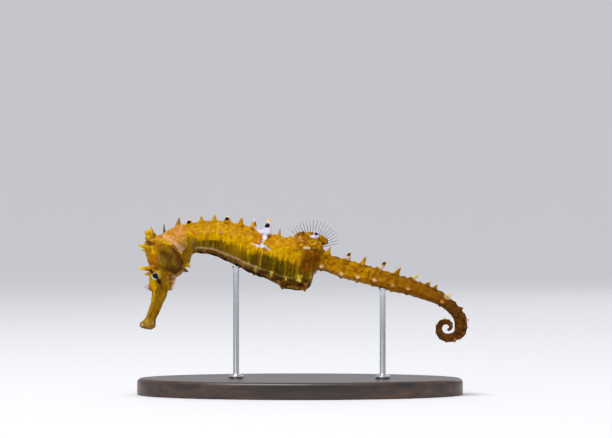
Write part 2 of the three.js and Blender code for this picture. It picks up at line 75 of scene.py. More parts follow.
GOLD = tone(192, 138, 0)
LEMON = tone(220, 172, 0)
AMBER = tone(186, 112, 2)
OLIVE = tone(64, 48, 2)
MOSS = tone(112, 86, 4)
BARK = tone(84, 44, 8)
SALMON = tone(214, 140, 84)
BONE = tone(226, 216, 176)
SADDLE_WHITE = tone(226, 220, 238)
INK = tone(14, 10, 20)
RUST = tone(176, 66, 10)
TAN = tone(166, 134, 74)
CURL_BROWN = tone(80, 44, 10)
TAIL_GOLD = tone(184, 130, 0)
TAIL_BROWN = tone(146, 90, 2)
KEEL = tone(20, 12, 6)
PEACH = tone(224, 164, 96)
CHEEK = tone(112, 74, 6)
SNOUT = tone(160, 122, 14)

# %% [markdown]
# The camera stands level with the animal and looks straight across it, along +Y. The model
# is small, so the camera is 0.7 m away, and the lens is chosen so that the picture is
# 183.6 mm wide at the animal.

# %% Camera
PICTURE = (612, 438)
MM_PER_PIXEL = 0.30
VIEW_CENTRE = (1.8, -2.0, 52.8)
CAMERA_DISTANCE = 700.0
SENSOR = 36.0

camera_data = bpy.data.cameras.new("camera")
camera = bpy.data.objects.new("camera", camera_data)
scene.collection.objects.link(camera)
scene.camera = camera
camera_data.sensor_width = SENSOR
camera_data.lens = SENSOR * CAMERA_DISTANCE / (PICTURE[0] * MM_PER_PIXEL)
camera_data.clip_start = 0.01
camera_data.clip_end = 50
camera_data.dof.use_dof = False
camera.location = (
    VIEW_CENTRE[0] * MM,
    (VIEW_CENTRE[1] - CAMERA_DISTANCE) * MM,
    VIEW_CENTRE[2] * MM,
)
camera.rotation_euler = (np.pi / 2, 0, 0)
print("lens", round(camera_data.lens, 2))

# %% [markdown]
# Helpers for meshes. Every surface here is a grid of points, worked out as whole arrays.
# A grid that closes on itself round one direction is a tube, and a tube gets a middle
# point at each end, so that it is a closed body.

# %% Grids to meshes
def tube_faces(rows, columns):
    """Quads between neighbouring points of a rows by columns grid that closes round its
    columns, and a fan of triangles from each end row to its pole. The poles are the two
    points after the grid."""
    row, column = np.meshgrid(np.arange(rows - 1), np.arange(columns), indexing="ij")
    here = row * columns + column
    aside = row * columns + (column + 1) % columns
    quads = np.stack([here, aside, aside + columns, here + columns], -1).reshape(-1, 4)
    rim = np.arange(columns)
    turn = (rim + 1) % columns
    first = np.full(columns, rows * columns)
    foot = np.stack([first, turn, rim], -1)
    last_row = (rows - 1) * columns
    head = np.stack([first + 1, last_row + rim, last_row + turn], -1)
    return quads, np.concatenate([foot, head])


def tube(points, start, end):
    """Vertices and faces of a closed tube: the grid, then its two poles."""
    rows, columns = points.shape[:2]
    vertices = np.concatenate([points.reshape(-1, 3), [start], [end]])
    quads, triangles = tube_faces(rows, columns)
    return vertices, quads, triangles


def gather(parts):
    """Many closed bodies in one list of vertices, quads and triangles."""
    offset = 0
    vertices, quads, triangles = [], [], []
    for points, four, three in parts:
        vertices.append(points)
        quads.append(four + offset)
        triangles.append(three + offset)
        offset += len(points)
    return np.concatenate(vertices), np.concatenate(quads), np.concatenate(triangles)


def new_mesh(name, vertices, quads, triangles, smooth=True):
    """A mesh object at the origin, filled from arrays."""
    mesh = bpy.data.meshes.new(name)
    quads = np.asarray(quads, int).reshape(-1, 4)
    triangles = np.asarray(triangles, int).reshape(-1, 3)
    corners = np.concatenate([quads.ravel(), triangles.ravel()]).astype(np.int32)
    sizes = np.concatenate([np.full(len(quads), 4), np.full(len(triangles), 3)])
    mesh.vertices.add(len(vertices))
    mesh.vertices.foreach_set("co", np.asarray(vertices, np.float32).ravel())
    mesh.loops.add(len(corners))
    mesh.loops.foreach_set("vertex_index", corners)
    mesh.polygons.add(len(sizes))
    starts = np.concatenate([[0], np.cumsum(sizes)[:-1]]).astype(np.int32)
    mesh.polygons.foreach_set("loop_start", starts)
    mesh.update(calc_edges=True)
    mesh.validate()
    mesh.polygons.foreach_set("use_smooth", np.full(len(mesh.polygons), smooth))
    thing = bpy.data.objects.new(name, mesh)
    scene.collection.objects.link(thing)
    return thing


def smooth_step(low, high, value):
    share = np.clip((value - low) / (high - low), 0, 1)
    return share * share * (3 - 2 * share)


def hump(value, centre, width):
    """A soft bump of height 1 at centre, which has faded out at about twice the width."""
    return np.exp(-(((value - centre) / width) ** 2))


def mix(low, high, share):
    return low + (high - low) * share


def unit(vectors):
    return vectors / np.linalg.norm(vectors, axis=-1, keepdims=True)


# %% [markdown]
# The body is ringed armour. A place on it is given by a ring number, where whole numbers
# are the raised middles of rings, and by how far down the section it lies, from 0 at the
# ridge of the back to 1 at the keel. The lines of back and belly are smooth curves through
# a short list of key rings, and the tail's curl is an even spiral.

# %% Lines of the body
KEY_RINGS = [
    # ring, back x, back z, belly x, belly z, half width
    [-2, -42.9, 47.4, -42.3, 42.9, 1.6],
    [-1, -40.2, 49.2, -39.0, 39.8, 2.7],
    [0, -36.9, 50.9, -33.8, 38.5, 3.0],
    [1, -33.3, 51.5, -32.4, 42.1, 3.1],
    [2, -29.7, 52.2, -29.7, 42.5, 3.2],
    [3, -25.8, 52.4, -26.1, 41.9, 3.4],
    [4, -21.9, 52.1, -22.8, 40.4, 3.7],
    [5, -17.8, 51.2, -19.2, 38.7, 4.0],
    [6, -13.9, 50.2, -15.6, 36.7, 4.2],
    [7, -9.9, 48.7, -12.5, 35.4, 4.4],
    [8, -6.3, 47.5, -8.5, 33.8, 4.5],
    [9, -2.9, 46.9, -4.9, 31.6, 4.5],
    [10, 0.9, 47.7, -1.2, 31.0, 4.3],
    [10.6, 3.2, 47.7, 1.2, 30.9, 4.1],
    [11, 4.8, 47.5, 3.0, 32.2, 3.8],
    [11.3, 6.0, 46.8, 3.7, 34.2, 3.4],
    [11.5, 6.7, 45.4, 3.9, 35.9, 3.1],
    [11.7, 7.1, 43.4, 4.8, 37.1, 2.8],
    [12, 8.3, 41.8, 6.8, 37.3, 2.5],
    [14, 13.9, 40.0, 12.3, 35.1, 2.4],
    [16, 18.7, 38.5, 17.1, 33.9, 2.3],
    [18, 23.6, 36.8, 22.0, 32.7, 2.15],
    [20, 28.8, 35.3, 27.5, 31.0, 2.0],
    [22, 33.5, 33.8, 32.0, 30.0, 1.9],
    [25, 40.2, 31.0, 38.6, 27.8, 1.7],
    [27, 44.1, 28.7, 41.9, 26.4, 1.55],
    [29, 47.8, 25.0, 44.7, 24.0, 1.45],
    [31, 49.6, 21.5, 46.0, 21.6, 1.4],
    [33, 49.1, 17.2, 46.0, 18.5, 1.3],
]
CURL_CENTRE = (43.8, 19.4)
CURL_RINGS = np.arange(35, 48)
CURL_FIRST_ANGLE = np.pi / 3
CURL_TURN = 0.567
TRUNK_END = 11.6


def curl_rows():
    """An even spiral: the radius and the depth both shrink steadily with the angle."""
    angle = CURL_FIRST_ANGLE + (CURL_RINGS - CURL_RINGS[0]) * CURL_TURN
    radius = 3.66 - 0.396 * angle
    depth = 2.7 - 0.265 * angle
    out = np.stack([np.cos(angle), -np.sin(angle)], -1)
    back = CURL_CENTRE + out * (radius + depth / 2)[:, None]
    belly = CURL_CENTRE + out * (radius - depth / 2)[:, None]
    return np.column_stack([CURL_RINGS, back, belly, 0.5 * depth])


RINGS = np.concatenate([np.array(KEY_RINGS), curl_rows()])


def curve_through(table, place):
    """Cubic curves through the rows of a table whose first column is the place: the slope
    at each row is that of the straight line between its two neighbours."""
    keys = table[:, 0]
    last = len(keys) - 1
    i = np.clip(np.searchsorted(keys, place) - 1, 0, last - 1)
    before = np.clip(np.arange(len(keys)) - 1, 0, last)
    after = np.clip(np.arange(len(keys)) + 1, 0, last)
    slope = (table[after] - table[before]) / (keys[after] - keys[before])[:, None]
    span = (keys[i + 1] - keys[i])[..., None]
    u = (place - keys[i])[..., None] / span
    rise = u * u * (3 - 2 * u)
    line = table[i] * (1 - rise) + table[i + 1] * rise
    bend = slope[i] * u * (1 - u) ** 2 - slope[i + 1] * u**2 * (1 - u)
    return line + bend * span


def body_frame(ring):
    """Back point, belly point and half width at each ring number."""
    row = curve_through(RINGS, np.asarray(ring, float))
    zero = np.zeros(row.shape[:-1])
    back = np.stack([row[..., 1], zero, row[..., 2]], -1)
    belly = np.stack([row[..., 3], zero, row[..., 4]], -1)
    return back, belly, row[..., 5]


# %% [markdown]
# The section of the trunk has seven ridges and that of the tail has four. Between two
# ridges the skin is a shallow curve. The armour is a little slimmer at the joints, and
# each ridge stands up as a narrow rounded edge.

# %% Section of the body
TRUNK_SHAPE = [
    (0.035, 0.0), (0.0, 0.5), (0.2, 0.77), (0.42, 1.0),
    (0.66, 0.95), (0.86, 0.66), (0.95, 0.34), (1.0, 0.0),
]
TAIL_SHAPE = [
    (0.05, 0.0), (0.0, 0.92), (0.24, 0.88), (0.5, 0.92),
    (0.74, 0.88), (0.93, 0.8), (0.985, 0.42), (1.0, 0.0),
]
CORNERS = 14
SIDE_RIDGE = 3
SIDE_RIDGE_RISE = 0.022
RING_RELIEF = {"trunk": 0.03, "tail": 0.035}
RIDGE_EDGE = 0.13
FIRST_RING = 1
TAIL_ROLL = np.radians(18)


def side_rise(ring):
    """How much higher up the section the side ridge runs, ring by ring."""
    return SIDE_RIDGE_RISE * np.clip(np.minimum(ring, 11) - 2, 0, None)


def tail_roll(ring):
    """How far the tail is rolled about its own middle line, belly to the left side: it
    comes on behind the trunk and is gone again in the curl."""
    return TAIL_ROLL * smooth_step(13.5, 19.5, ring) * smooth_step(36, 27, ring)


def half_section(shape, place):
    """A curve through the listed corners of one side: a parabola from ridge to ridge that
    passes through the corner between them."""
    corners = np.array(shape)
    listed = np.concatenate([[corners[1] * (1, -1)], corners])
    segment = np.minimum((place + 1) // 2, 3).astype(int)
    u = ((place + 1) / 2 - segment)[..., None]
    low, middle, high = (listed[2 * segment + k] for k in range(3))
    return low * (1 - u) * (1 - 2 * u) + middle * 4 * u * (1 - u) + high * u * (2 * u - 1)


def body_surface(ring, corner):
    """Points of the skin at ring numbers and places round the section, which run from 0 at
    the back down one side to 7 at the keel and up the other to 14."""
    ring, corner = np.broadcast_arrays(np.asarray(ring, float), np.asarray(corner, float))
    side = np.where(corner <= CORNERS / 2, 1, -1)
    place = np.where(side > 0, corner, CORNERS - corner)
    tail = smooth_step(TRUNK_END - 0.4, TRUNK_END + 0.6, ring)[..., None]
    section = mix(half_section(TRUNK_SHAPE, place), half_section(TAIL_SHAPE, place), tail)
    near_ridge = np.clip(1 - np.abs(place - SIDE_RIDGE) / 1.5, 0, 1)
    down = section[..., 0] - side_rise(ring) * near_ridge * (1 - tail[..., 0])
    slim = mix(RING_RELIEF["trunk"], RING_RELIEF["tail"], tail[..., 0])
    pinch = 1 - slim * np.where(ring > FIRST_RING, np.sin(np.pi * ring) ** 2, 0)
    back, belly, half = body_frame(ring)
    depth = np.linalg.norm(back - belly, axis=-1)
    odd = np.abs((place + 1) % 2 - 1)
    edge = RIDGE_EDGE * np.exp(-((1 - odd) / 0.22) ** 2) * smooth_step(0, 1.5, ring)
    reach = pinch + 2 * edge / depth
    rise = (0.5 - down) * reach * depth
    out = side * section[..., 1] * (half * pinch + edge)
    roll = tail_roll(ring)
    height = (rise * np.cos(roll) - out * np.sin(roll)) / depth
    point = (back + belly) / 2 + (back - belly) * height[..., None]
    point[..., 1] = out * np.cos(roll) + rise * np.sin(roll)
    return point


def body_tube():
    """The body as a tube, from inside the head to the tip of the tail."""
    ring = np.concatenate([np.arange(-2, 12.5, 0.05), np.arange(12.5, 46.9, 0.1)])
    corner = np.arange(0, CORNERS, 0.14)
    points = body_surface(ring[:, None], corner[None, :])
    back, belly, _ = body_frame(ring[[0, -1]])
    middle = (back + belly) / 2
    past_tip = middle[1] + (middle[1] - points[-3].mean(0)) * 0.6
    return tube(points, middle[0], past_tip)


body = body_tube()
print("body tube", len(body[0]), "points")

# %% [markdown]
# The head hangs down from the neck and ends in a long snout. Its levels run from the crown
# to the mouth, each with the line of the forehead, the line of the throat, and half the
# width. The whole head looks slightly to one side, so every point moves along by a share
# of its sideways place.

# %% Head
HEAD_TURN = 0.165
HEAD_LEVELS = [
    # forehead x, z, throat x, z, half width, squareness
    [-45.3, 47.2, -40.2, 48.4, 1.7, 0.9],
    [-46.7, 45.9, -36.6, 46.7, 2.7, 0.9],
    [-46.7, 43.3, -34.6, 43.3, 3.4, 0.8],
    [-45.9, 40.4, -34.2, 39.8, 3.6, 0.8],
    [-45.1, 37.8, -35.6, 36.6, 3.5, 0.8],
    [-45.2, 35.4, -37.5, 34.9, 3.1, 0.85],
    [-45.1, 33.2, -38.9, 32.8, 2.5, 0.9],
    [-44.4, 31.2, -39.6, 31.2, 1.95, 0.95],
    [-44.3, 29.1, -40.0, 29.0, 1.65, 0.95],
    [-44.7, 26.6, -41.1, 26.6, 1.5, 1.0],
    [-45.4, 24.4, -42.0, 24.3, 1.45, 1.0],
    [-46.1, 22.3, -42.9, 22.3, 1.5, 1.0],
    [-47.3, 21.0, -43.05, 21.0, 1.7, 1.0],
    [-47.7, 19.9, -43.2, 19.9, 1.65, 1.0],
    [-46.9, 19.0, -44.4, 18.75, 1.1, 1.0],
]


def turned(points):
    """The head's slight look aside: x grows with y."""
    moved = np.array(points, float)
    moved[..., 0] += HEAD_TURN * moved[..., 1]
    return moved


def head_tube():
    """Sections between forehead and throat lines: rounded, and flatter at the sides where
    the squareness is low. The sine of the angle, raised to that power, is the width."""
    rows = np.array(HEAD_LEVELS)
    table = np.column_stack([np.arange(len(rows)), rows])
    row = curve_through(table, np.arange(0, len(rows) - 0.99, 0.08))[:, None, :]
    angle = np.linspace(0, 2 * np.pi, 96, endpoint=False)[None, :]
    back = 0.5 - 0.5 * np.cos(angle)
    width = np.sign(np.sin(angle)) * np.abs(np.sin(angle)) ** row[..., 6]
    x = mix(row[..., 1], row[..., 3], back)
    z = mix(row[..., 2], row[..., 4], back)
    points = turned(np.stack([x, -width * row[..., 5], z], -1))
    return tube(points, points[0].mean(0), points[-1].mean(0) - (0, 0, 0.15))


head = head_tube()
print("head tube", len(head[0]), "points")

# %% [markdown]
# Spines grow where rings cross ridges. Each is a small horn with a flared foot: its radius
# falls steadily to a rounded tip. All of them are worked out at once, as one array with a
# row for each spine.

# %% Spines
BACK_SPINES = {
    # ring: (height, foot radius, tip radius, how hollow the flank of the spine is)
    1: (1.2, 1.0, 0.62, 0.7), 2: (2.2, 0.85, 0.18, 1.3), 3: (2.3, 0.95, 0.2, 1.3),
    4: (1.6, 1.15, 0.72, 0.6), 5: (2.5, 1.1, 0.2, 1.3), 6: (2.8, 1.15, 0.22, 1.2),
    7: (4.1, 1.75, 0.36, 0.95), 8: (2.1, 0.55, 0.18, 1.0), 9: (0.5, 0.4, 0.2, 1.0),
    10: (1.1, 0.75, 0.3, 1.0), 11: (1.2, 0.95, 0.6, 0.8), 12: (2.2, 0.95, 0.2, 1.1),
    14: (2.9, 0.9, 0.26, 0.9), 16: (2.3, 0.85, 0.3, 1.0), 18: (3.3, 1.15, 0.28, 0.9),
    20: (2.4, 0.9, 0.28, 0.9), 22: (2.1, 0.9, 0.46, 0.9), 24: (1.4, 0.8, 0.36, 0.9),
    25: (1.2, 0.75, 0.36, 0.9), 27: (0.7, 1.1, 0.66, 0.7), 29: (0.7, 0.6, 0.22, 1.0),
    31: (0.5, 0.7, 0.42, 0.8), 35: (0.35, 0.5, 0.3, 0.8), 41: (0.35, 0.5, 0.34, 0.8),
}
PLAIN_BUMP = (0.1, 0.3, 0.2, 1.0)
TAIL_LEAN = {14: 0.25, 16: 0.1, 18: 0.45, 20: 0.3, 22: 0.75, 24: 0.3, 25: 0.1}
BELLY_SPINES = {
    # ring: (height, foot radius, tip radius, how hollow)
    6: (0.5, 0.5, 0.24, 1.0), 6.72: (0.75, 0.55, 0.26, 1.0), 7.92: (0.7, 0.55, 0.28, 1.0),
    9.12: (0.7, 0.55, 0.28, 1.0), 10.2: (0.85, 0.85, 0.42, 0.9), 11: (0.5, 0.5, 0.26, 1.0),
}
TAIL_TUBERCLE_RINGS = (11.9, 14, 16, 18, 20, 22, 27)
KEEL_SPINE_RINGS = (6.6, 8.9, 10.65)
LAST_BUMP_RING = 44

spine_rows = []  # name, root, tip, foot radius, tip radius, hollow


def ridge_spine(name, ring, corner, sizes, lean=0.25, inward=0.0, level=0.0):
    """A spine that stands out from the middle of the body through a ridge, turned a little
    towards the line from belly to back, and leaning towards the tail. A level one is
    turned to stand straight out sideways."""
    height, radius, end, hollow = sizes
    foot = body_surface(ring, corner)
    back, belly, _ = body_frame(ring)
    roll = tail_roll(float(ring))
    straight = unit(back - belly)
    up = straight * np.cos(roll) + np.array([0, np.sin(roll), 0])
    across = np.array([0, np.cos(roll), 0]) - straight * np.sin(roll)
    ahead = sum(body_frame(ring + 0.3)[:2]) - sum(body_frame(ring - 0.3)[:2])
    out = foot - (back + belly) / 2
    out = out - inward * (out @ across) * across
    sign = np.sign(out @ up) or 1
    away = mix(unit(out), up * sign, 0.35)
    away = mix(away, across * np.sign(out @ across), level)
    direction = unit(away + unit(ahead) * lean)
    root = foot - direction * (0.6 * radius + 0.15)
    spine_rows.append((name, root, foot + direction * height, radius, end, hollow))


def add_ring_spines():
    for ring in range(1, LAST_BUMP_RING):
        back, belly, _ = body_frame(ring)
        size = np.linalg.norm(back - belly)
        sizes = BACK_SPINES.get(ring, PLAIN_BUMP)
        lean = TAIL_LEAN.get(ring, 0.12) if ring > TRUNK_END else 0.0
        for corner in (1, 13):
            ridge_spine(f"back_{ring}_{corner}", ring, corner, sizes, lean, 0.4)
        if ring < TRUNK_END:
            for corner in (SIDE_RIDGE, CORNERS - SIDE_RIDGE):
                ridge_spine(f"side_{ring}_{corner}", ring, corner, (0.5, 0.6, 0.25, 1.0), 0.1)
    for ring, sizes in BELLY_SPINES.items():
        for corner in (5, 9):
            ridge_spine(f"belly_{ring}_{corner}", ring, corner, sizes, 0.2, 0.0, 0.3)
    for ring in TAIL_TUBERCLE_RINGS:
        for corner, height in ((5, 0.02), (9, 0.05)):
            sizes = (height, 0.58, 0.42, 0.8)
            ridge_spine(f"tubercle_{ring}_{corner}", ring, corner, sizes, 0.2, 0.0, 1.0)
    for ring in KEEL_SPINE_RINGS:
        ridge_spine(f"keel_{ring}", ring, CORNERS / 2, (0.55, 0.8, 0.25, 1.0), 0.3)


HEAD_SPINES = [
    # name, root, tip, foot radius, tip radius, hollow, paired
    ("brow", (-42.8, 2.2, 36.9), (-47.9, 3.6, 36.9), 1.15, 0.22, 0.75, True),
    ("crest", (-45.2, 1.1, 44.3), (-48.4, 2.5, 44.1), 1.35, 0.24, 1.2, True),
    ("nose", (-43.3, 0, 32.0), (-47.0, 0, 31.9), 1.9, 0.24, 1.1, False),
    ("nape", (-40.8, 0, 47.2), (-41.1, 0, 51.7), 0.9, 0.17, 1.5, False),
    ("temple", (-43.7, 1.8, 43.5), (-43.9, 3.05, 43.7), 0.36, 0.2, 1.0, True),
    ("gill", (-35.8, 0.5, 37.7), (-33.6, 0.8, 36.9), 0.75, 0.3, 0.9, True),
]
NECK_SPINES = [
    ("ridge", (-36.9, 0, 50.0), (-36.5, 0, 54.0), 1.45, 0.18, 1.3, False),
    ("shoulder", (-34.9, 2.3, 41.8), (-36.5, 4.3, 42.1), 0.72, 0.24, 0.9, True),
    ("chest", (-34.9, 0.4, 39.4), (-32.9, 0.6, 38.3), 0.8, 0.26, 0.9, True),
]


def add_listed_spines(rows, place):
    for name, root, tip, radius, end, hollow, paired in rows:
        for side in (-1, 1) if paired else (1,):
            ends = place(np.array([root, tip]) * (1, side, 1))
            spine_rows.append((f"{name}_{side}", ends[0], ends[1], radius, end, hollow))


def spine_bodies(rows):
    """Horns on straight lines. Height runs from root to tip; the radius is the tip's, plus
    a part that falls with a power of the share of height left, and the last rows close it
    with a quarter circle."""
    root = np.array([row[1] for row in rows])
    tip = np.array([row[2] for row in rows])
    foot = np.array([row[3] for row in rows])[:, None]
    end = np.array([row[4] for row in rows])[:, None]
    hollow = np.array([row[5] for row in rows])[:, None]
    along = unit(tip - root)
    length = np.linalg.norm(tip - root, axis=-1)[:, None]
    share = np.linspace(0, 1, 12)[None, :]
    turn = np.radians([25, 50, 72])[None, :]
    shaft = end + (foot - end) * (1 - share) ** hollow
    height = np.concatenate([share * (length - end), length - end + end * np.sin(turn)], 1)
    radius = np.concatenate([shaft, end * np.cos(turn)], 1)
    helper = np.where(np.abs(along[:, 1:2]) < 0.9, [[0, 1, 0]], [[1, 0, 0]])
    across = unit(np.cross(along, helper))
    other = np.cross(along, across)
    angle = np.linspace(0, 2 * np.pi, 12, endpoint=False)
    spoke = (
        across[:, None, :] * np.cos(angle)[None, :, None]
        + other[:, None, :] * np.sin(angle)[None, :, None]
    )
    points = root[:, None, None, :] + along[:, None, None, :] * height[:, :, None, None]
    points = points + spoke[:, None, :, :] * radius[:, :, None, None]
    return [tube(points[k], root[k], tip[k]) for k in range(len(rows))]


add_ring_spines()
add_listed_spines(HEAD_SPINES, turned)
add_listed_spines(NECK_SPINES, np.asarray)
print("spines", len(spine_rows))

# %% [markdown]
# The coronet is a small crown of bone and skin on top of the head: a short waisted column
# whose rim runs out into five points, with one more in the middle.

# %% Coronet
CORONET = {"x": -45.0, "foot": 46.4, "top": 48.7, "reach": 2.2, "tilt": 0.3}


def coronet_column():
    """A surface of revolution whose radius has a waist, with a rim that swells towards
    each of the five points. The rim dips towards the nape."""
    heights = np.array([0.0, 0.5, 1.1, 1.7, 2.2, 2.5, 2.7]) + CORONET["foot"]
    radii = np.array([1.9, 1.55, 1.28, 1.24, 1.35, 1.4, 1.1])
    angle = np.linspace(0, 2 * np.pi, 40, endpoint=False)
    swell = 1 + 0.16 * np.cos(5 * (angle - np.pi)) * np.linspace(0, 1, 7)[:, None]
    radius = radii[:, None] * swell
    height = heights[:, None] - CORONET["tilt"] * radius * np.cos(angle)
    points = np.stack(
        [CORONET["x"] + radius * np.cos(angle), radius * np.sin(angle), height], -1
    )
    points = turned(points)
    return tube(points, points[0].mean(0), points[-1].mean(0))


def add_coronet_points():
    centre = np.array([CORONET["x"], 0, CORONET["top"]])
    for k in range(5):
        angle = np.pi + k * 2 * np.pi / 5
        out = np.array([np.cos(angle), np.sin(angle), -CORONET["tilt"] * np.cos(angle)])
        root = centre + out * 0.3 - (0, 0, 0.5)
        tip = centre + out * CORONET["reach"] + (0, 0, 0.15)
        spine_rows.append((f"coronet_{k}", turned(root), turned(tip), 1.25, 0.22, 1.0))
    root, top = centre - (0, 0, 0.6), centre + (0.1, 0, 2.55)
    spine_rows.append(("coronet_top", turned(root), turned(top), 1.45, 0.2, 1.3))


add_coronet_points()
coronet = coronet_column()

# %% [markdown]
# The eye sits in a raised turret of skin. Its rim is a ring of flesh round the eyeball,
# made as a torus, that the skin takes in when everything is fused.

# %% Eye rims
EYE = {"x": -42.6, "y": 2.3, "z": 34.5, "radius": 1.5}
LID = {"ring": 1.46, "thick": 0.42, "out": 0.55}


def eye_rim(side):
    """A torus round the line that the eye looks along, which is straight out sideways."""
    round_ring = np.linspace(0, 2 * np.pi, 48, endpoint=False)[:, None]
    round_tube = np.linspace(0, 2 * np.pi, 16, endpoint=False)[None, :]
    reach = LID["ring"] + LID["thick"] * np.cos(round_tube)
    x = EYE["x"] + reach * np.cos(round_ring)
    z = EYE["z"] + reach * np.sin(round_ring)
    y = side * (EYE["y"] + LID["out"] + LID["thick"] * np.sin(round_tube))
    points = turned(np.stack([x, np.broadcast_to(y, x.shape), z], -1))
    rows, columns = points.shape[:2]
    row, column = np.meshgrid(np.arange(rows), np.arange(columns), indexing="ij")
    here = row * columns + column
    aside = row * columns + (column + 1) % columns
    ahead = (row + 1) % rows * columns + column
    across = (row + 1) % rows * columns + (column + 1) % columns
    quads = np.stack([here, ahead, across, aside], -1).reshape(-1, 4)
    if side < 0:
        quads = quads[:, ::-1]
    return points.reshape(-1, 3), quads, np.zeros((0, 3), int)


# %% [markdown]
# Two more lumps of flesh. Under the cheek a thin flap of the throat stands down and ends
# in a corner, where the snout begins. On the back a firm low mound carries the dorsal
# fin, and at its rear it overhangs the tail a little.

# %% Throat flap and fin mound
def wedge(outline, inner, thin, thick):
    """A closed wedge: the outline points are thin apart, the inner points thick apart."""
    outer, core = np.array(outline, float), np.array(inner, float)
    count = len(outer)
    rim = np.concatenate([outer, core[::-1]])
    half = np.concatenate([np.full(count, thin), np.full(len(core), thick)])
    near = np.stack([rim[:, 0], -half, rim[:, 1]], -1)
    far = np.stack([rim[:, 0], half, rim[:, 1]], -1)
    middle_near, middle_far = near.mean(0), far.mean(0)
    grid = np.stack([near, far])
    return tube(turned(grid), turned(middle_near), turned(middle_far))


def arched_tube(line, radius, flatness, rows=40, sides=28):
    """A tube along a smooth line through listed points of the middle plane, with rounded
    ends: the radius follows a flat-topped arch."""
    table = np.column_stack([np.arange(len(line)), np.array(line, float)])
    share = np.linspace(0.0, 1.0, rows)
    row = curve_through(table, share * (len(line) - 1))
    spot = np.stack([row[:, 1], 0 * share, row[:, 2]], -1)
    along = unit(np.gradient(spot, axis=0))
    up = np.cross(along, (0, 1, 0))
    up = up * np.where(up[:, 2:] < 0, -1, 1)
    size = radius * (1 - np.abs(2 * share - 1) ** 10 * 0.92)[:, None]
    angle = np.linspace(0, 2 * np.pi, sides, endpoint=False)
    grid = spot[:, None, :] + up[:, None, :] * (size * np.cos(angle))[..., None]
    grid[..., 1] += flatness * size * np.sin(angle)
    return tube(grid[:, ::-1], spot[0], spot[-1])


flap = wedge(
    [(-37.0, 36.4), (-37.2, 34.6), (-37.6, 33.2), (-38.4, 31.0), (-39.7, 30.9)],
    [(-40.2, 36.6), (-40.6, 35.0), (-40.8, 33.6), (-41.2, 32.4), (-41.4, 31.6)],
    0.36, 1.3,
)
fin_mound = arched_tube(
    [(-1.8, 47.6), (1.0, 47.9), (3.5, 47.8), (6.0, 46.9), (8.5, 45.8)], 1.3, 0.9,
)

# %% [markdown]
# All the closed pieces of flesh overlap, so they can be fused. A voxel remesh turns them
# into one skin of even small faces. It is the way that clay is pressed together: no seam
# is left, and the skin can be carved afterwards anywhere. The work is done in millimetres.

# %% Fuse the skin
VOXEL = 0.225


def fused(parts, voxel):
    """One surface round all the given closed bodies."""
    lump = new_mesh("lump", *gather(parts))
    remesh = lump.modifiers.new("fuse", "REMESH")
    remesh.mode = "VOXEL"
    remesh.voxel_size = voxel
    remesh.use_smooth_shade = True
    bpy.context.view_layer.update()
    evaluated = lump.evaluated_get(bpy.context.evaluated_depsgraph_get())
    mesh = bpy.data.meshes.new_from_object(evaluated)
    bpy.data.objects.remove(lump)
    return mesh


skin_mesh = fused(
    [body, head, coronet, flap, fin_mound, eye_rim(-1), eye_rim(1), *spine_bodies(spine_rows)],
    VOXEL,
)
print("skin", len(skin_mesh.vertices), "vertices", len(skin_mesh.polygons), "faces")

# %% [markdown]
# To carve and paint the fused skin, each of its points has to know where it is: its ring
# number, how far down the section it lies, and how far out to the side. The line from
# back to belly is laid at several hundred rings, and each point takes the one it is
# nearest to. On the head the point keeps its plain place instead, without the turn.

# %% Where each point of the skin lies
def locate(points):
    """Ring number and share down the section of each point. The distance is the one to the
    straight line from back to belly, and the ring is then refined by the point's small
    distance ahead of that line over the distance between rings there."""
    rings = np.concatenate([np.arange(-2, 12.6, 0.04), np.arange(12.6, 46.9, 0.1)])
    back, belly, _ = body_frame(rings)
    back, belly = back[:, ::2], belly[:, ::2]
    line = belly - back
    size = (line**2).sum(-1)
    nearest = []
    for chunk in np.array_split(points[:, ::2], 1 + len(points) // 4000):
        offset = chunk[:, None, :] - back[None]
        down = np.clip((offset * line).sum(-1) / size, 0, 1)
        gap = offset - down[..., None] * line
        nearest.append((gap**2).sum(-1).argmin(1))
    i = np.concatenate(nearest)
    offset = points[:, ::2] - back[i]
    down = (offset * line[i]).sum(-1) / size[i]
    step = 0.02
    back_on, belly_on, _ = body_frame(rings + step)
    ahead = (mix(back_on[i], belly_on[i], down[:, None])[:, ::2]
             - mix(back[i], belly[i], down[:, None]))
    across = np.stack([-line[i, 1], line[i, 0]], -1)
    pitch = (ahead * across).sum(-1) / step
    slip = (offset * across).sum(-1) / np.where(np.abs(pitch) < 1e-6, 1e-6, pitch)
    return rings[i] + np.clip(slip, -0.1, 0.1), down


def vertices_of(mesh):
    values = np.empty(len(mesh.vertices) * 3, np.float32)
    mesh.vertices.foreach_get("co", values)
    return values.reshape(-1, 3).astype(float)


def normals_of(mesh):
    values = np.empty(len(mesh.vertices) * 3, np.float32)
    mesh.vertex_normals.foreach_get("vector", values)
    return values.reshape(-1, 3).astype(float)


def edges_of(mesh):
    values = np.empty(len(mesh.edges) * 2, np.int32)
    mesh.edges.foreach_get("vertices", values)
    return values.reshape(-1, 2)


def neighbour_mean(values, edges, count):
    """The mean of each point's neighbours along the mesh's edges."""
    total = np.zeros_like(values)
    for axis in range(values.shape[1]):
        total[:, axis] = (
            np.bincount(edges[:, 0], values[edges[:, 1], axis], count)
            + np.bincount(edges[:, 1], values[edges[:, 0], axis], count)
        )
    degree = np.bincount(edges.ravel(), minlength=count)
    return total / degree[:, None]


HEAD_CUT = np.array([-36.4, 43.7])
HEAD_CUT_LEAN = np.radians(25)

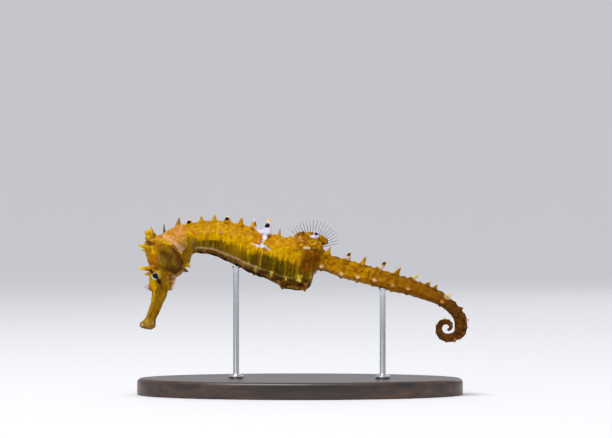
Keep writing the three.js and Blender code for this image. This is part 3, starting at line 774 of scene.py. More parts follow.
points = vertices_of(skin_mesh)
edges = edges_of(skin_mesh)
ring, down = locate(points)
depth = np.linalg.norm(np.subtract(*body_frame(ring)[:2]), axis=-1)
roll = tail_roll(ring)
rise = (0.5 - down) * depth
aside = points[:, 1] * np.cos(roll) - rise * np.sin(roll)
down = 0.5 - (rise * np.cos(roll) + points[:, 1] * np.sin(roll)) / depth
head_x = points[:, 0] - HEAD_TURN * points[:, 1]
head_z = points[:, 2]
past_cut = (
    (head_x - HEAD_CUT[0]) * np.cos(HEAD_CUT_LEAN) + (head_z - HEAD_CUT[1]) * np.sin(HEAD_CUT_LEAN)
)
on_head = smooth_step(0.5, -0.5, past_cut)
on_tail = smooth_step(11.4, 12.2, ring) * (1 - on_head)
on_trunk = (1 - on_tail) * (1 - on_head)
half_width = body_frame(ring)[2]
breadth = np.abs(aside) / half_width
print("rings run from", ring.min().round(2), "to", ring.max().round(2))

# %% [markdown]
# Flesh doesn't meet flesh in a sharp crease, so the fused skin is softened: a little all
# over, and more where the head joins the neck and where the trunk steps down to the tail.
# Softening moves each point part of the way to the mean of its neighbours, then back out
# by a bit less, which keeps the size.

# %% Soften the skin
def soften(points, amount, times):
    """Steps towards the neighbours' mean, each followed by a step away that is a little
    stronger, so that the surface gets smooth and doesn't shrink."""
    for _ in range(times):
        for step in (0.5, -0.52):
            drift = neighbour_mean(points, edges, len(points)) - points
            points = points + drift * (step * amount)[:, None]
    return points


def near_spine_feet(points):
    """1 where a spine leaves the body, fading out at about its own foot's width away."""
    mask = np.zeros(len(points))
    for _, root, tip, radius, _, _ in spine_rows:
        foot = root + unit(tip - root) * (0.6 * radius + 0.15)
        gap = np.linalg.norm(points - foot, axis=-1)
        mask = np.maximum(mask, smooth_step(1.9 * radius, 0.9 * radius, gap))
    return mask


upper = smooth_step(41.5, 43.5, points[:, 2])
crease = np.exp(-((past_cut / 1.6) ** 2)) * mix(0.25, 1.0, upper)
crease = np.maximum(crease, 0.45 * hump(ring, 11.7, 0.4) * (1 - on_head))
points = soften(points, np.full(len(points), 0.9), 2)
points = soften(points, 0.8 * near_spine_feet(points), 3)
points = soften(points, crease, 14)
skin_mesh.vertices.foreach_set("co", points.astype(np.float32).ravel())
skin_mesh.update()

# %% [markdown]
# Mottling needs a smooth random field. Random values sit at the corners of a lattice of
# cubes, made from whole numbers by a fixed scramble, so that they never change from run
# to run, and a point takes a smooth mean of the eight corners round it.

# %% Random fields
def scramble(x, y, z, seed):
    """A value from 0 to 1 for each whole-number corner: multiply, fold and mask."""
    mixed = (x * 374761393 + y * 668265263 + z * 1442695041 + seed * 362437) & 0xFFFFFFFF
    mixed = ((mixed ^ (mixed >> 13)) * 1274126177) & 0xFFFFFFFF
    return ((mixed ^ (mixed >> 16)) & 0xFFFF) / 0xFFFF


def mottle(places, size, seed):
    """A field from 0 to 1 with soft patches of about the given size."""
    scaled = places / size
    corner = np.floor(scaled).astype(np.int64)
    share = scaled - corner
    share = share * share * (3 - 2 * share)
    total = np.zeros(len(places))
    for k in range(8):
        offset = np.array([k & 1, k >> 1 & 1, k >> 2 & 1])
        weight = np.abs(1 - offset - share).prod(-1)
        total += weight * scramble(*(corner + offset).T, seed)
    return total


def layered(places, size, seed):
    """Three fields of halving size, added with halving weight."""
    return sum(mottle(places, size / 2**k, seed + k) * 0.5 ** (k + 1) for k in range(3)) / 0.875


# %% [markdown]
# Fine relief goes into the real surface, not only into the shading. Each ring has a narrow
# bar of bone that runs from ridge to ridge, with fine upright folds of skin between the
# bars. The head has a gill cover with a raised rim and fine rays, a ridge from the eye to
# the crest, a crease across the cheek, and a small slit of a mouth.

# %% Carve the relief
GILL = {"x": -38.0, "z": 40.1, "rx": 3.8, "rz": 4.2, "cut": 2.4}


def off_ring(value):
    """Distance to the nearest whole ring, in rings."""
    return np.abs(value - np.round(value))


def body_relief():
    bar = np.exp(-((off_ring(ring) / 0.11) ** 2))
    flank = smooth_step(-0.02, 0.08, down) * smooth_step(0.96, 0.84, down)
    folds = np.cos(2 * np.pi * (ring * 4 + 0.5)) * smooth_step(0.12, 0.3, off_ring(ring))
    wander = mottle(np.stack([ring * 9, down * 3, np.sign(points[:, 1])], -1), 1.0, 5) - 0.5
    pits = layered(points, 1.1, 11) - 0.5
    trunk = flank * (0.14 * bar + 0.05 * folds + 0.12 * wander) + 0.16 * pits
    tail = flank * 0.08 * np.exp(-((off_ring(ring) / 0.16) ** 2)) + 0.05 * wander + 0.12 * pits
    size = np.clip(depth / 4.5, 0.4, 1)
    return on_trunk * smooth_step(0.6, 1.6, ring) * trunk + on_tail * size * tail


def line_distance(x, z, start, end):
    """Distance from a straight stroke on the side of the head, and the share along it."""
    start, end = np.array(start), np.array(end)
    run = end - start
    share = np.clip(((x - start[0]) * run[0] + (z - start[1]) * run[1]) / (run @ run), 0, 1)
    return np.hypot(x - start[0] - share * run[0], z - start[1] - share * run[1]), share


def stroke(start, end, width, x=head_x, z=head_z):
    return np.exp(-((line_distance(x, z, start, end)[0] / width) ** 2))


gill_x = (head_x - GILL["x"]) / GILL["rx"]
gill_z = (head_z - GILL["z"]) / GILL["rz"]
gill_cut = (0.65 * (head_x - GILL["x"]) + 0.76 * (head_z - GILL["z"])) / GILL["cut"]
gill_reach = (np.hypot(gill_x, gill_z) ** 6 + np.clip(gill_cut, 0, None) ** 6) ** (1 / 6)
gill_lines = np.cos(2 * np.pi * gill_reach * 6.2 + 1.6 * mottle(points, 0.8, 17))
sideways = smooth_step(0.9, 2.2, np.abs(points[:, 1]))


def head_relief():
    rim = 0.16 * hump(gill_reach, 0.98, 0.12) - 0.2 * hump(gill_reach, 1.14, 0.09)
    rays = 0.07 * gill_lines * smooth_step(0.1, 0.5, gill_x)
    plate = (0.12 + rays) * smooth_step(0.98, 0.82, gill_reach)
    rear = smooth_step(-1.1, -0.2, gill_x)
    ridges = 0.24 * stroke((-44.2, 37.9), (-45.4, 43.6), 0.45)
    ridges += 0.2 * stroke((-42.2, 43.9), (-37.4, 46.6), 0.4)
    ridges += 0.18 * stroke((-40.9, 36.6), (-38.6, 34.4), 0.4)
    crease = -0.2 * stroke((-41.6, 37.3), (-39.0, 35.6), 0.35)
    lumps = 0.2 * (layered(points, 1.6, 21) - 0.5) + 0.12 * (layered(points, 0.8, 23) - 0.5)
    snout = smooth_step(31.5, 29.5, head_z)
    lines = -0.08 * stroke((-42.0, 30.5), (-44.6, 21.8), 0.3)
    lines += 0.1 * stroke((-43.2, 30.5), (-45.5, 21.5), 0.35)
    mouth = -0.4 * stroke((-46.9, 19.15), (-44.6, 18.7), 0.22)
    lip = 0.16 * hump(head_z + 0.25 * (head_x + 45), 20.1, 0.5)
    side_parts = rim * (0.4 + 0.6 * rear) + plate + ridges + crease
    return on_head * (sideways * side_parts + lumps + snout * (lines * sideways + mouth + lip))


relief = body_relief() + head_relief()
points = points + normals_of(skin_mesh) * relief[:, None]
skin_mesh.vertices.foreach_set("co", points.astype(np.float32).ravel())
skin_mesh.update()
print("relief from", relief.min().round(2), "to", relief.max().round(2), "mm")

# %% [markdown]
# The colours of the skin are painted by rule, point by point: golden yellow above, a
# bright yellow band, then a dark olive band low on the flank that is partly the animal's
# own colour and partly painted shade, a pale ridge with a thin painted highlight, and a
# dark keel.
# Marks are given in ring numbers and shares down the section, so they lie on the body like
# real markings and are the same on both sides.

# %% Paint the skin
def paint(colours, tint, mask):
    return mix(colours, tint, np.clip(mask, 0, 1)[:, None])


PITCH = 3.9  # millimetres from ring to ring on the trunk


def band(start, end, width):
    """A soft stroke on the body from one (ring, down) to another; the distance to it is
    measured in millimetres over the skin."""
    x, z = ring * PITCH, down * np.clip(depth, 4, None)
    size = np.clip(depth, 4, None)
    start = (start[0] * PITCH, start[1] * size)
    end = (end[0] * PITCH, end[1] * size)
    run_x, run_z = end[0] - start[0], end[1] - start[1]
    along = ((x - start[0]) * run_x + (z - start[1]) * run_z) / (run_x**2 + run_z**2)
    along = np.clip(along, 0, 1)
    gap = np.hypot(x - start[0] - along * run_x, z - start[1] - along * run_z)
    return smooth_step(width * 1.25, width * 0.75, gap)


OLIVE_TOP = [
    # ring, share down the section where the olive band begins, which is partly painted shade
    (0.7, 0.74), (1.9, 0.68), (3.7, 0.61), (4.4, 0.65), (5.0, 0.635), (5.7, 0.61), (6.2, 0.585),
    (6.7, 0.56), (7.2, 0.56), (7.5, 0.535), (7.8, 0.55), (8.1, 0.53), (8.6, 0.5), (9.0, 0.53),
    (9.4, 0.55), (9.9, 0.58), (10.4, 0.5), (11.4, 0.4),
]


FLANK_MARKS = [
    # from (ring, down), to (ring, down), half the width, tone, strength
    ((8.06, 0.06), (8.14, 0.42), 0.18, tone(228, 178, 70), 0.5),
    ((9.5, 0.315), (10.0, 0.315), 0.5, tone(116, 74, 14), 0.6),
    ((9.84, 0.45), (9.9, 0.66), 0.5, tone(170, 118, 4), 0.55),
    ((7.0, 0.92), (7.6, 0.905), 0.3, tone(66, 44, 12), 0.7),  # dark gaps between the belly spines
    ((8.2, 0.905), (8.75, 0.89), 0.4, tone(50, 26, 12), 0.7),
    ((9.4, 0.88), (9.8, 0.87), 0.4, tone(74, 50, 8), 0.7),
    ((10.45, 0.83), (10.7, 0.88), 0.4, tone(62, 34, 14), 0.7),
    ((6.48, 0.88), (6.8, 0.88), 0.22, tone(154, 136, 90), 0.8),  # a pale corner at each spine
    ((6.62, 0.89), (6.7, 0.935), 0.26, tone(190, 172, 112), 0.9),
    ((7.74, 0.868), (8.04, 0.866), 0.2, tone(150, 132, 60), 0.8),
    ((7.87, 0.875), (7.92, 0.925), 0.26, tone(190, 172, 86), 0.9),
    ((8.9, 0.825), (9.3, 0.822), 0.26, tone(150, 126, 48), 0.8),
    ((9.1, 0.83), (9.12, 0.87), 0.26, tone(192, 164, 86), 0.9),
    ((9.86, 0.79), (10.32, 0.79), 0.36, tone(176, 154, 26), 0.85),
    ((10.08, 0.81), (10.15, 0.85), 0.34, tone(214, 192, 46), 0.9),
    ((9.98, 0.86), (10.32, 0.858), 0.16, tone(214, 186, 90), 0.9),
]


def paint_trunk():
    grain = layered(points, 2.0, 31)
    fine = layered(points, 0.75, 33)
    side = np.sign(points[:, 1])
    streak = layered(np.stack([ring * 9, down * 1.6, side], -1), 1.0, 7)
    thread = mottle(np.stack([ring * 17, down * 3.0, side], -1), 1.0, 9)
    bar = np.exp(-((off_ring(ring) / 0.1) ** 2))
    ridge = 0.42 - side_rise(ring)
    colours = mix(AMBER, GOLD, smooth_step(0.15, 0.5, grain)[:, None])
    colours = paint(colours, LEMON, 0.6 * smooth_step(0.55, 0.75, layered(points, 1.3, 35)))
    colours = paint(colours, AMBER, 0.75 * smooth_step(0.6, 0.75, fine))
    colours = paint(colours, tone(150, 92, 6), 0.5 * smooth_step(0.68, 0.85, layered(points, 0.6, 47)))
    colours = paint(colours, SALMON, 0.5 * smooth_step(0.66, 0.8, layered(points, 1.0, 37)) * (down < ridge))
    below = smooth_step(ridge - 0.02, ridge + 0.03, down)
    colours = paint(colours, LEMON, 0.7 * below * smooth_step(0.3, 0.6, streak))
    colours = paint(colours, tone(168, 116, 0), 0.7 * below * smooth_step(0.62, 0.8, thread))
    # The olive band low on the flank is partly the animal's own colour and partly painted shade, darkest in the
    # middle of the trunk.
    top = np.interp(ring, *zip(*OLIVE_TOP))
    edge_width = 0.012 + 0.1 * hump(ring, 5.4, 1.5) + 0.045 * smooth_step(6.5, 8.0, ring)
    shade = smooth_step(-edge_width, edge_width, down - top - edge_width * 2.5 * (streak - 0.5))
    shade = shade * smooth_step(0.9, 1.3, ring)
    low = mix(MOSS, OLIVE, smooth_step(0.35, 0.65, streak)[:, None])
    deep = hump(ring, 8.2, 2.4)
    low = paint(low, tone(46, 38, 4), 0.6 * deep)
    low = paint(low, tone(30, 24, 2), 0.75 * deep * smooth_step(0.45, 0.7, thread))
    low = paint(low, tone(150, 116, 0), 0.7 * smooth_step(0.72, 0.85, streak) * smooth_step(3.0, 4.5, ring))
    low = paint(low, tone(136, 100, 2), 0.6 * smooth_step(8.6, 9.8, ring) * smooth_step(0.35, 0.6, streak))
    low = paint(low, tone(140, 106, 4), 0.62 * hump(ring, 4.9, 0.9))
    colours = paint(colours, low, 0.94 * shade)
    colours = paint(colours, tone(158, 124, 2), 0.45 * shade * bar)
    belly = smooth_step(0.86, 0.9, down) * smooth_step(0.9, 1.4, ring)
    rough = layered(points, 0.9, 39)
    under = mix(tone(92, 56, 10), tone(148, 104, 42), smooth_step(0.4, 0.65, rough)[:, None])
    under = paint(under, tone(48, 28, 6), 0.8 * smooth_step(0.5, 0.7, layered(points, 1.7, 45)))
    colours = paint(colours, under, belly)
    pale_line = hump(down, 0.885, 0.022) * smooth_step(7.4, 6.4, ring) * smooth_step(0.9, 1.3, ring)
    colours = paint(colours, TAN, pale_line)
    # A thin pale pink painted highlight along the middle of the pale ridge line.
    colours = paint(colours, tone(206, 178, 130), 0.75 * hump(down, 0.872, 0.013) * (pale_line > 0.1) * smooth_step(0.3, 0.5, rough))
    gold_line = hump(down, np.interp(ring, (7, 8, 9, 10), (0.872, 0.86, 0.835, 0.825)), 0.016)
    gold_line = gold_line * smooth_step(7.0, 7.4, ring) * smooth_step(10.8, 10.2, ring)
    colours = paint(colours, tone(132, 110, 40), 0.8 * gold_line * smooth_step(0.25, 0.5, rough))
    black_edge = smooth_step(0.962, 0.982, down) * smooth_step(1.5, 1.9, ring) * smooth_step(8.0, 7.2, ring)
    colours = paint(colours, KEEL, black_edge)
    edge = hump(down, ridge, 0.02) * smooth_step(0.1, 0.2, off_ring(ring)) * smooth_step(8.5, 7.5, ring)
    colours = paint(colours, SALMON, 0.8 * edge * smooth_step(0.4, 0.55, grain))
    rear = smooth_step(9.7, 10.5, ring + 0.5 * (streak - 0.5))
    dark = mix(tone(96, 52, 4), tone(136, 76, 6), smooth_step(0.4, 0.7, fine)[:, None])
    colours = paint(colours, dark, 0.9 * rear * smooth_step(0.28, 0.32, down) * smooth_step(0.78, 0.68, down))
    for start, end, width, tint, strength in FLANK_MARKS:
        colours = paint(colours, tint, strength * band(start, end, width))
    return paint_chest(paint_mound(colours, fine, grain), streak)


def paint_chest(colours, streak):
    """Under the throat the body is a golden column, with a grey panel behind it."""
    chest = smooth_step(1.0, 0.7, ring)
    gold = mix(tone(124, 84, 4), tone(172, 126, 4), smooth_step(0.35, 0.65, streak)[:, None])
    colours = paint(colours, gold, chest * smooth_step(0.3, 0.6, down))
    nape = smooth_step(0.62, 0.3, ring + 0.4 * (streak - 0.5)) * smooth_step(0.5, 0.36, down)
    peach = mix(tone(208, 144, 76), tone(196, 134, 12), smooth_step(0.45, 0.65, layered(points, 1.2, 55))[:, None])
    colours = paint(colours, peach, 0.85 * nape)
    panel = smooth_step(0.75, 1.0, ring) * smooth_step(1.7, 1.35, ring)
    panel = panel * smooth_step(0.5, 0.64, down) * smooth_step(0.95, 0.86, down)
    return paint(colours, tone(104, 82, 40), 0.75 * panel)


def paint_mound(colours, fine, grain):
    """The firm mound under the dorsal fin: gold and brown mottles, dark on top in front."""
    mound = smooth_step(9.3, 9.8, ring) * smooth_step(0.32, 0.26, down)
    patches = mix(tone(134, 84, 4), tone(198, 140, 2), smooth_step(0.4, 0.6, fine)[:, None])
    patches = paint(patches, tone(200, 118, 40), 0.5 * smooth_step(0.55, 0.7, grain) * (ring < 10.5))
    patches = paint(patches, tone(96, 56, 6), 0.7 * smooth_step(0.55, 0.7, layered(points, 0.7, 63)))
    colours = paint(colours, patches, 0.9 * mound)
    colours = paint(colours, tone(124, 68, 2), 0.55 * band((9.75, 0.19), (10.3, 0.18), 0.8))
    return paint(colours, BARK, 0.8 * smooth_step(0.02, -0.05, down) * hump(ring, 9.8, 0.35))


def paint_saddle(colours):
    """A white saddle under the tallest pair of spines, edged with rust in front and behind,
    and a small white dash under the fin's mound."""
    rust = band((6.62, 0.16), (6.76, 0.33), 0.36) + band((6.15, 0.385), (6.75, 0.37), 0.26)
    colours = paint(colours, tone(196, 110, 8), 0.3 * band((6.4, 0.14), (6.55, 0.34), 0.7))
    colours = paint(colours, RUST, 0.75 * rust)
    colours = paint(colours, BARK, 0.6 * band((7.25, 0.1), (7.1, 0.24), 0.45))
    colours = paint(colours, tone(206, 120, 30), 0.6 * band((7.5, 0.30), (8.2, 0.31), 0.5))
    colours = paint(colours, tone(176, 108, 30), 0.4 * band((6.72, 0.45), (6.86, 0.76), 0.26))
    colours = paint(colours, tone(196, 160, 60), 0.45 * band((6.98, 0.5), (7.02, 0.8), 0.2))
    marks = [
        ((6.2, 0.03), (7.2, 0.02), 0.5), ((6.5, 0.06), (6.9, 0.1), 0.5),
        ((6.98, 0.02), (6.95, 0.2), 0.62),
        ((6.95, 0.2), (6.86, 0.38), 0.42), ((6.1, 0.43), (6.5, 0.435), 0.22),
        ((6.5, 0.43), (6.95, 0.41), 0.4), ((6.95, 0.38), (7.25, 0.405), 0.34),
        ((7.25, 0.405), (7.5, 0.425), 0.2),
    ]
    white = np.max([band(*mark) for mark in marks], axis=0)
    colours = paint(colours, SADDLE_WHITE, white)
    colours = paint(colours, tone(232, 190, 150), 0.9 * band((6.1, 0.43), (6.3, 0.435), 0.2))
    colours = paint(colours, tone(226, 196, 176), band((10.25, 0.28), (10.78, 0.285), 0.3))
    colours = paint(colours, tone(210, 134, 72), 0.5 * band((9.75, 0.04), (9.9, 0.13), 0.5))
    for place in (11.25, 11.42, 11.55):
        colours = paint(colours, INK, 0.8 * band((place, 0.02), (place, 0.03), 0.25))
    # Painted shadow in the dip where the fin's mound steps down to the tail.
    notch_shadow = hump(ring, 11.7, 0.14) * smooth_step(0.02, 0.1, down) * smooth_step(0.5, 0.3, down)
    colours = paint(colours, tone(60, 34, 6), 0.7 * notch_shadow)
    return paint(colours, INK, band((10.78, 0.28), (10.8, 0.285), 0.22))


def paint_tail():
    grain = layered(points, 1.1, 41)
    fine = layered(points, 0.6, 43)
    colours = mix(TAIL_BROWN, TAIL_GOLD, smooth_step(0.3, 0.62, grain)[:, None])
    colours = paint(colours, tone(110, 62, 4), 0.75 * smooth_step(0.53, 0.7, fine))
    colours = paint(colours, tone(200, 144, 0), 0.65 * smooth_step(0.34, 0.1, down) * smooth_step(0.62, 0.45, fine))
    colours = paint(colours, tone(186, 118, 16), 0.5 * hump(down, 0.9, 0.07))
    colours = paint(colours, tone(132, 78, 2), 0.65 * smooth_step(15, 24, ring))
    colours = paint(colours, tone(122, 70, 0), 0.4 * hump(ring, 21.5, 2.5))
    colours = paint(colours, tone(76, 42, 8), 0.85 * smooth_step(1.0, 1.04, down))
    curled = smooth_step(23, 30, ring)
    colours = paint(colours, CURL_BROWN, 0.92 * curled)
    bar = np.exp(-((off_ring(ring) / 0.16) ** 2))
    colours = paint(colours, tone(140, 84, 20), 0.3 * bar * curled)
    colours = paint(colours, tone(128, 78, 26), 0.5 * curled * smooth_step(0.55, 0.72, fine))
    return paint(colours, tone(48, 26, 10), 0.65 * curled * smooth_step(0.5, 0.65, grain))


head_half_width = np.interp(
    head_z, *zip(*sorted(((row[1] + row[3]) / 2, row[4]) for row in HEAD_LEVELS)),
)
on_side = smooth_step(0.2, 0.5, np.abs(points[:, 1]) / head_half_width)

HEAD_MARKS = [
    # from (x, z), to (x, z), half the width, colour, strength
    ((-45.6, 45.2), (-43.6, 44.6), 0.7, BARK, 0.85),  # shade under the coronet
    ((-43.6, 45.3), (-42.9, 44.4), 0.5, tone(140, 88, 6), 0.6),
    ((-44.2, 45.9), (-41.8, 47.5), 0.3, SALMON, 0.8),
    ((-46.2, 44.9), (-46.4, 43.4), 0.5, GOLD, 0.8),
    ((-43.2, 46.9), (-41.4, 47.8), 0.5, tone(196, 136, 8), 0.7),
    ((-40.6, 47.4), (-38.2, 45.4), 0.45, tone(224, 160, 110), 0.75),  # streak on the nape
    ((-38.2, 45.4), (-36.4, 43.4), 0.4, tone(224, 160, 110), 0.75),
    ((-42.4, 46.2), (-39.8, 45.9), 0.5, tone(206, 152, 6), 0.7),
    ((-40.4, 44.9), (-38.4, 44.5), 0.3, LEMON, 0.8),  # above the gill cover
    ((-43.8, 43.0), (-43.3, 41.4), 0.3, LEMON, 0.9),  # stripe below the crest
    ((-44.8, 42.6), (-44.6, 39.6), 0.45, tone(150, 110, 12), 0.7),
    ((-43.3, 40.4), (-42.2, 38.6), 0.9, tone(158, 96, 10), 0.75),
    ((-44.0, 38.6), (-42.0, 37.9), 0.5, tone(136, 76, 8), 0.8),  # brow
    ((-43.9, 37.6), (-41.6, 37.4), 0.35, tone(190, 130, 60), 0.5),
    ((-42.6, 37.1), (-40.0, 36.6), 0.75, tone(96, 54, 4), 0.85),
    ((-40.6, 36.6), (-39.8, 34.2), 1.1, tone(136, 94, 8), 0.9),  # cheek
    ((-40.8, 33.4), (-40.3, 31.0), 1.0, tone(138, 98, 8), 0.9),
    ((-41.3, 32.2), (-41.0, 31.2), 0.5, tone(104, 62, 4), 0.8),
    ((-40.2, 35.4), (-39.9, 33.6), 0.3, tone(160, 98, 8), 0.5),
    ((-38.2, 36.9), (-34.9, 37.4), 0.6, tone(62, 36, 12), 0.9),  # shade under the gill cover
    ((-37.2, 35.8), (-35.2, 36.6), 0.85, tone(64, 42, 28), 0.92),
    ((-44.7, 35.2), (-44.5, 32.6), 0.55, tone(206, 160, 10), 0.9),  # in front of the eye
    ((-43.7, 32.7), (-43.0, 31.0), 0.6, LEMON, 0.85),
    ((-41.6, 35.9), (-41.3, 34.2), 0.36, tone(170, 152, 70), 0.65),  # behind the eye
    ((-44.0, 36.0), (-43.6, 35.6), 0.52, tone(46, 22, 10), 0.95),  # dark line through the eye
    ((-42.2, 33.8), (-41.6, 32.8), 0.6, tone(36, 26, 18), 0.97),
    ((-42.0, 31.0), (-42.6, 30.2), 0.5, tone(104, 64, 4), 0.7),
]
GILL_MARKS = [
    ((-39.2, 44.1), (-37.6, 43.8), 0.2, tone(84, 40, 14), 0.85),  # short strokes along its top
    ((-38.8, 43.4), (-37.0, 43.0), 0.2, tone(84, 40, 14), 0.85),
    ((-38.0, 42.8), (-36.9, 42.3), 0.16, tone(84, 40, 14), 0.8),
    ((-41.6, 41.0), (-41.4, 38.4), 0.28, tone(158, 112, 56), 0.55),  # pale line in front
    ((-41.2, 43.2), (-40.4, 44.2), 0.3, tone(134, 90, 8), 0.6),
]
SNOUT_MARKS = [
    ((-41.5, 30.5), (-42.2, 28.3), 0.26, tone(104, 74, 8), 0.7),  # dark streaks
    ((-42.5, 27.6), (-43.2, 25.0), 0.24, tone(108, 76, 8), 0.6),
    ((-43.6, 24.6), (-44.4, 22.2), 0.26, tone(104, 68, 8), 0.65),
    ((-42.3, 24.2), (-42.9, 22.4), 0.24, tone(110, 66, 10), 0.6),
    ((-43.3, 30.4), (-43.9, 27.2), 0.32, tone(198, 158, 4), 0.9),  # yellow front edge
    ((-44.0, 26.4), (-45.4, 22.6), 0.24, tone(184, 128, 12), 0.7),
    ((-40.4, 30.2), (-41.2, 26.4), 0.34, tone(172, 122, 4), 0.8),  # golden rear edge
    ((-41.3, 25.8), (-41.9, 24.4), 0.3, tone(190, 112, 8), 0.7),
    ((-42.3, 23.4), (-42.8, 22.2), 0.3, tone(120, 76, 8), 0.7),
    ((-42.8, 21.4), (-43.4, 20.4), 0.34, tone(60, 52, 14), 0.85),
    # The next row is a pale pink painted highlight on the front of the mouth, and the three after it are the lips.
    ((-46.8, 20.1), (-46.6, 19.9), 0.26, tone(240, 190, 156), 0.8),  # lips
    ((-45.4, 21.0), (-44.9, 20.0), 0.5, tone(190, 152, 50), 0.6),
    ((-43.6, 20.9), (-43.4, 20.2), 0.2, tone(206, 140, 100), 0.6),
    ((-46.0, 18.95), (-44.9, 18.9), 0.3, tone(206, 120, 60), 0.8),
]


def head_strokes(colours, marks, where):
    """Soft strokes on the side of the head, a little ragged at their edges."""
    ragged = 0.7 * (layered(points, 0.9, 57) - 0.5)
    for start, end, width, tint, strength in marks:
        gap = line_distance(head_x, head_z, start, end)[0] / width + ragged
        colours = paint(colours, tint, strength * where * smooth_step(1.35, 0.65, gap))
    return colours


def paint_gill_cover(colours, grain, fine):
    """The gill cover is olive brown, soft at its front edge, with a dark blotch, and with
    reddish lines along its rear edge."""
    soft = mix(0.16, 0.05, smooth_step(-0.6, 0.2, gill_x))
    plate = smooth_step(1.0 + soft, 1.0 - soft, gill_reach + 0.12 * (grain - 0.5)) * on_side
    inside = mix(tone(98, 72, 12), tone(126, 96, 20), smooth_step(0.3, 0.7, grain)[:, None])
    inside = paint(inside, tone(74, 46, 8), 0.5 * smooth_step(0.5, 0.75, fine))
    inside = paint(inside, tone(76, 48, 6), 0.8 * stroke((-40.6, 41.8), (-39.6, 40.6), 0.7))
    inside = paint(inside, tone(140, 106, 12), 0.8 * stroke((-39.2, 42.8), (-38.0, 42.6), 0.6))
    rear = smooth_step(0.08, 0.42, gill_x + 0.3 * gill_z)
    inside = paint(inside, tone(132, 82, 30), 0.85 * rear)
    inside = paint(inside, tone(52, 24, 12), 0.95 * rear * smooth_step(-0.4, 0.3, gill_lines))
    inside = paint(inside, tone(74, 42, 10), 0.8 * smooth_step(-0.5, -0.85, gill_z))
    colours = paint(colours, inside, plate)
    border = hump(gill_reach, 1.05, 0.06) * on_side * smooth_step(0.2, -0.6, gill_x)
    return paint(colours, tone(116, 66, 8), 0.6 * border)


def paint_head():
    grain = layered(points, 1.7, 51)
    fine = layered(points, 0.6, 53)
    colours = mix(tone(162, 106, 6), GOLD, smooth_step(0.25, 0.6, grain)[:, None])
    colours = paint(colours, tone(138, 88, 10), 0.6 * smooth_step(0.5, 0.72, fine))
    colours = paint(colours, LEMON, 0.5 * smooth_step(0.6, 0.8, layered(points, 0.8, 59)))
    neck = smooth_step(44.8, 46.6, head_z + 0.3 * (head_x + 40) + 1.2 * (grain - 0.5))
    neck = neck * smooth_step(-43.6, -42.0, head_x)
    peach = mix(tone(206, 146, 84), tone(196, 136, 20), smooth_step(0.4, 0.62, layered(points, 1.2, 55))[:, None])
    colours = paint(colours, peach, 0.9 * neck)
    crown = smooth_step(46.3, 47.1, head_z) * smooth_step(-42.9, -43.5, head_x)
    colours = paint(colours, mix(tone(206, 166, 0), tone(142, 108, 4), smooth_step(-45.2, -43.6, head_x)[:, None]), crown)
    colours = paint(colours, tone(96, 66, 4), 0.6 * crown * smooth_step(0.58, 0.72, fine))
    snout = smooth_step(32.0, 30.0, head_z)
    colours = paint(colours, paint(mix(SNOUT, tone(140, 104, 8), grain[:, None]), CHEEK, 0.5 * fine), 0.95 * snout)
    tip = smooth_step(21.8, 20.6, head_z)
    colours = paint(colours, mix(tone(172, 132, 50), tone(132, 96, 26), grain[:, None]), 0.8 * tip)
    colours = head_strokes(colours, SNOUT_MARKS, np.ones(len(points)))
    colours = paint(colours, KEEL, 0.8 * stroke((-46.9, 19.15), (-44.6, 18.7), 0.2) * snout)
    colours = head_strokes(colours, HEAD_MARKS, on_side)
    colours = paint_gill_cover(colours, grain, fine)
    colours = head_strokes(colours, GILL_MARKS, on_side)
    return paint_flap(colours)


def paint_flap(colours):
    """The throat flap is pale with brown marks, and a pink line runs down its free edge."""
    area = smooth_step(-39.5, -39.1, head_x + 0.12 * (head_z - 34)) * smooth_step(35.6, 35.1, head_z)
    area = area * smooth_step(30.6, 31.2, head_z)
    pattern = layered(points, 0.9, 61)
    pale = mix(tone(120, 82, 16), tone(186, 144, 72), smooth_step(0.42, 0.6, pattern)[:, None])
    colours = paint(colours, pale, 0.9 * area)
    for start, end in (((-37.3, 35.0), (-37.6, 33.2)), ((-37.6, 33.2), (-38.5, 31.4))):
        colours = paint(colours, tone(240, 200, 186), 0.95 * area * stroke(start, end, 0.15))
    return colours


def spine_places(name):
    return next(row[1:4] for row in spine_rows if row[0] == name)


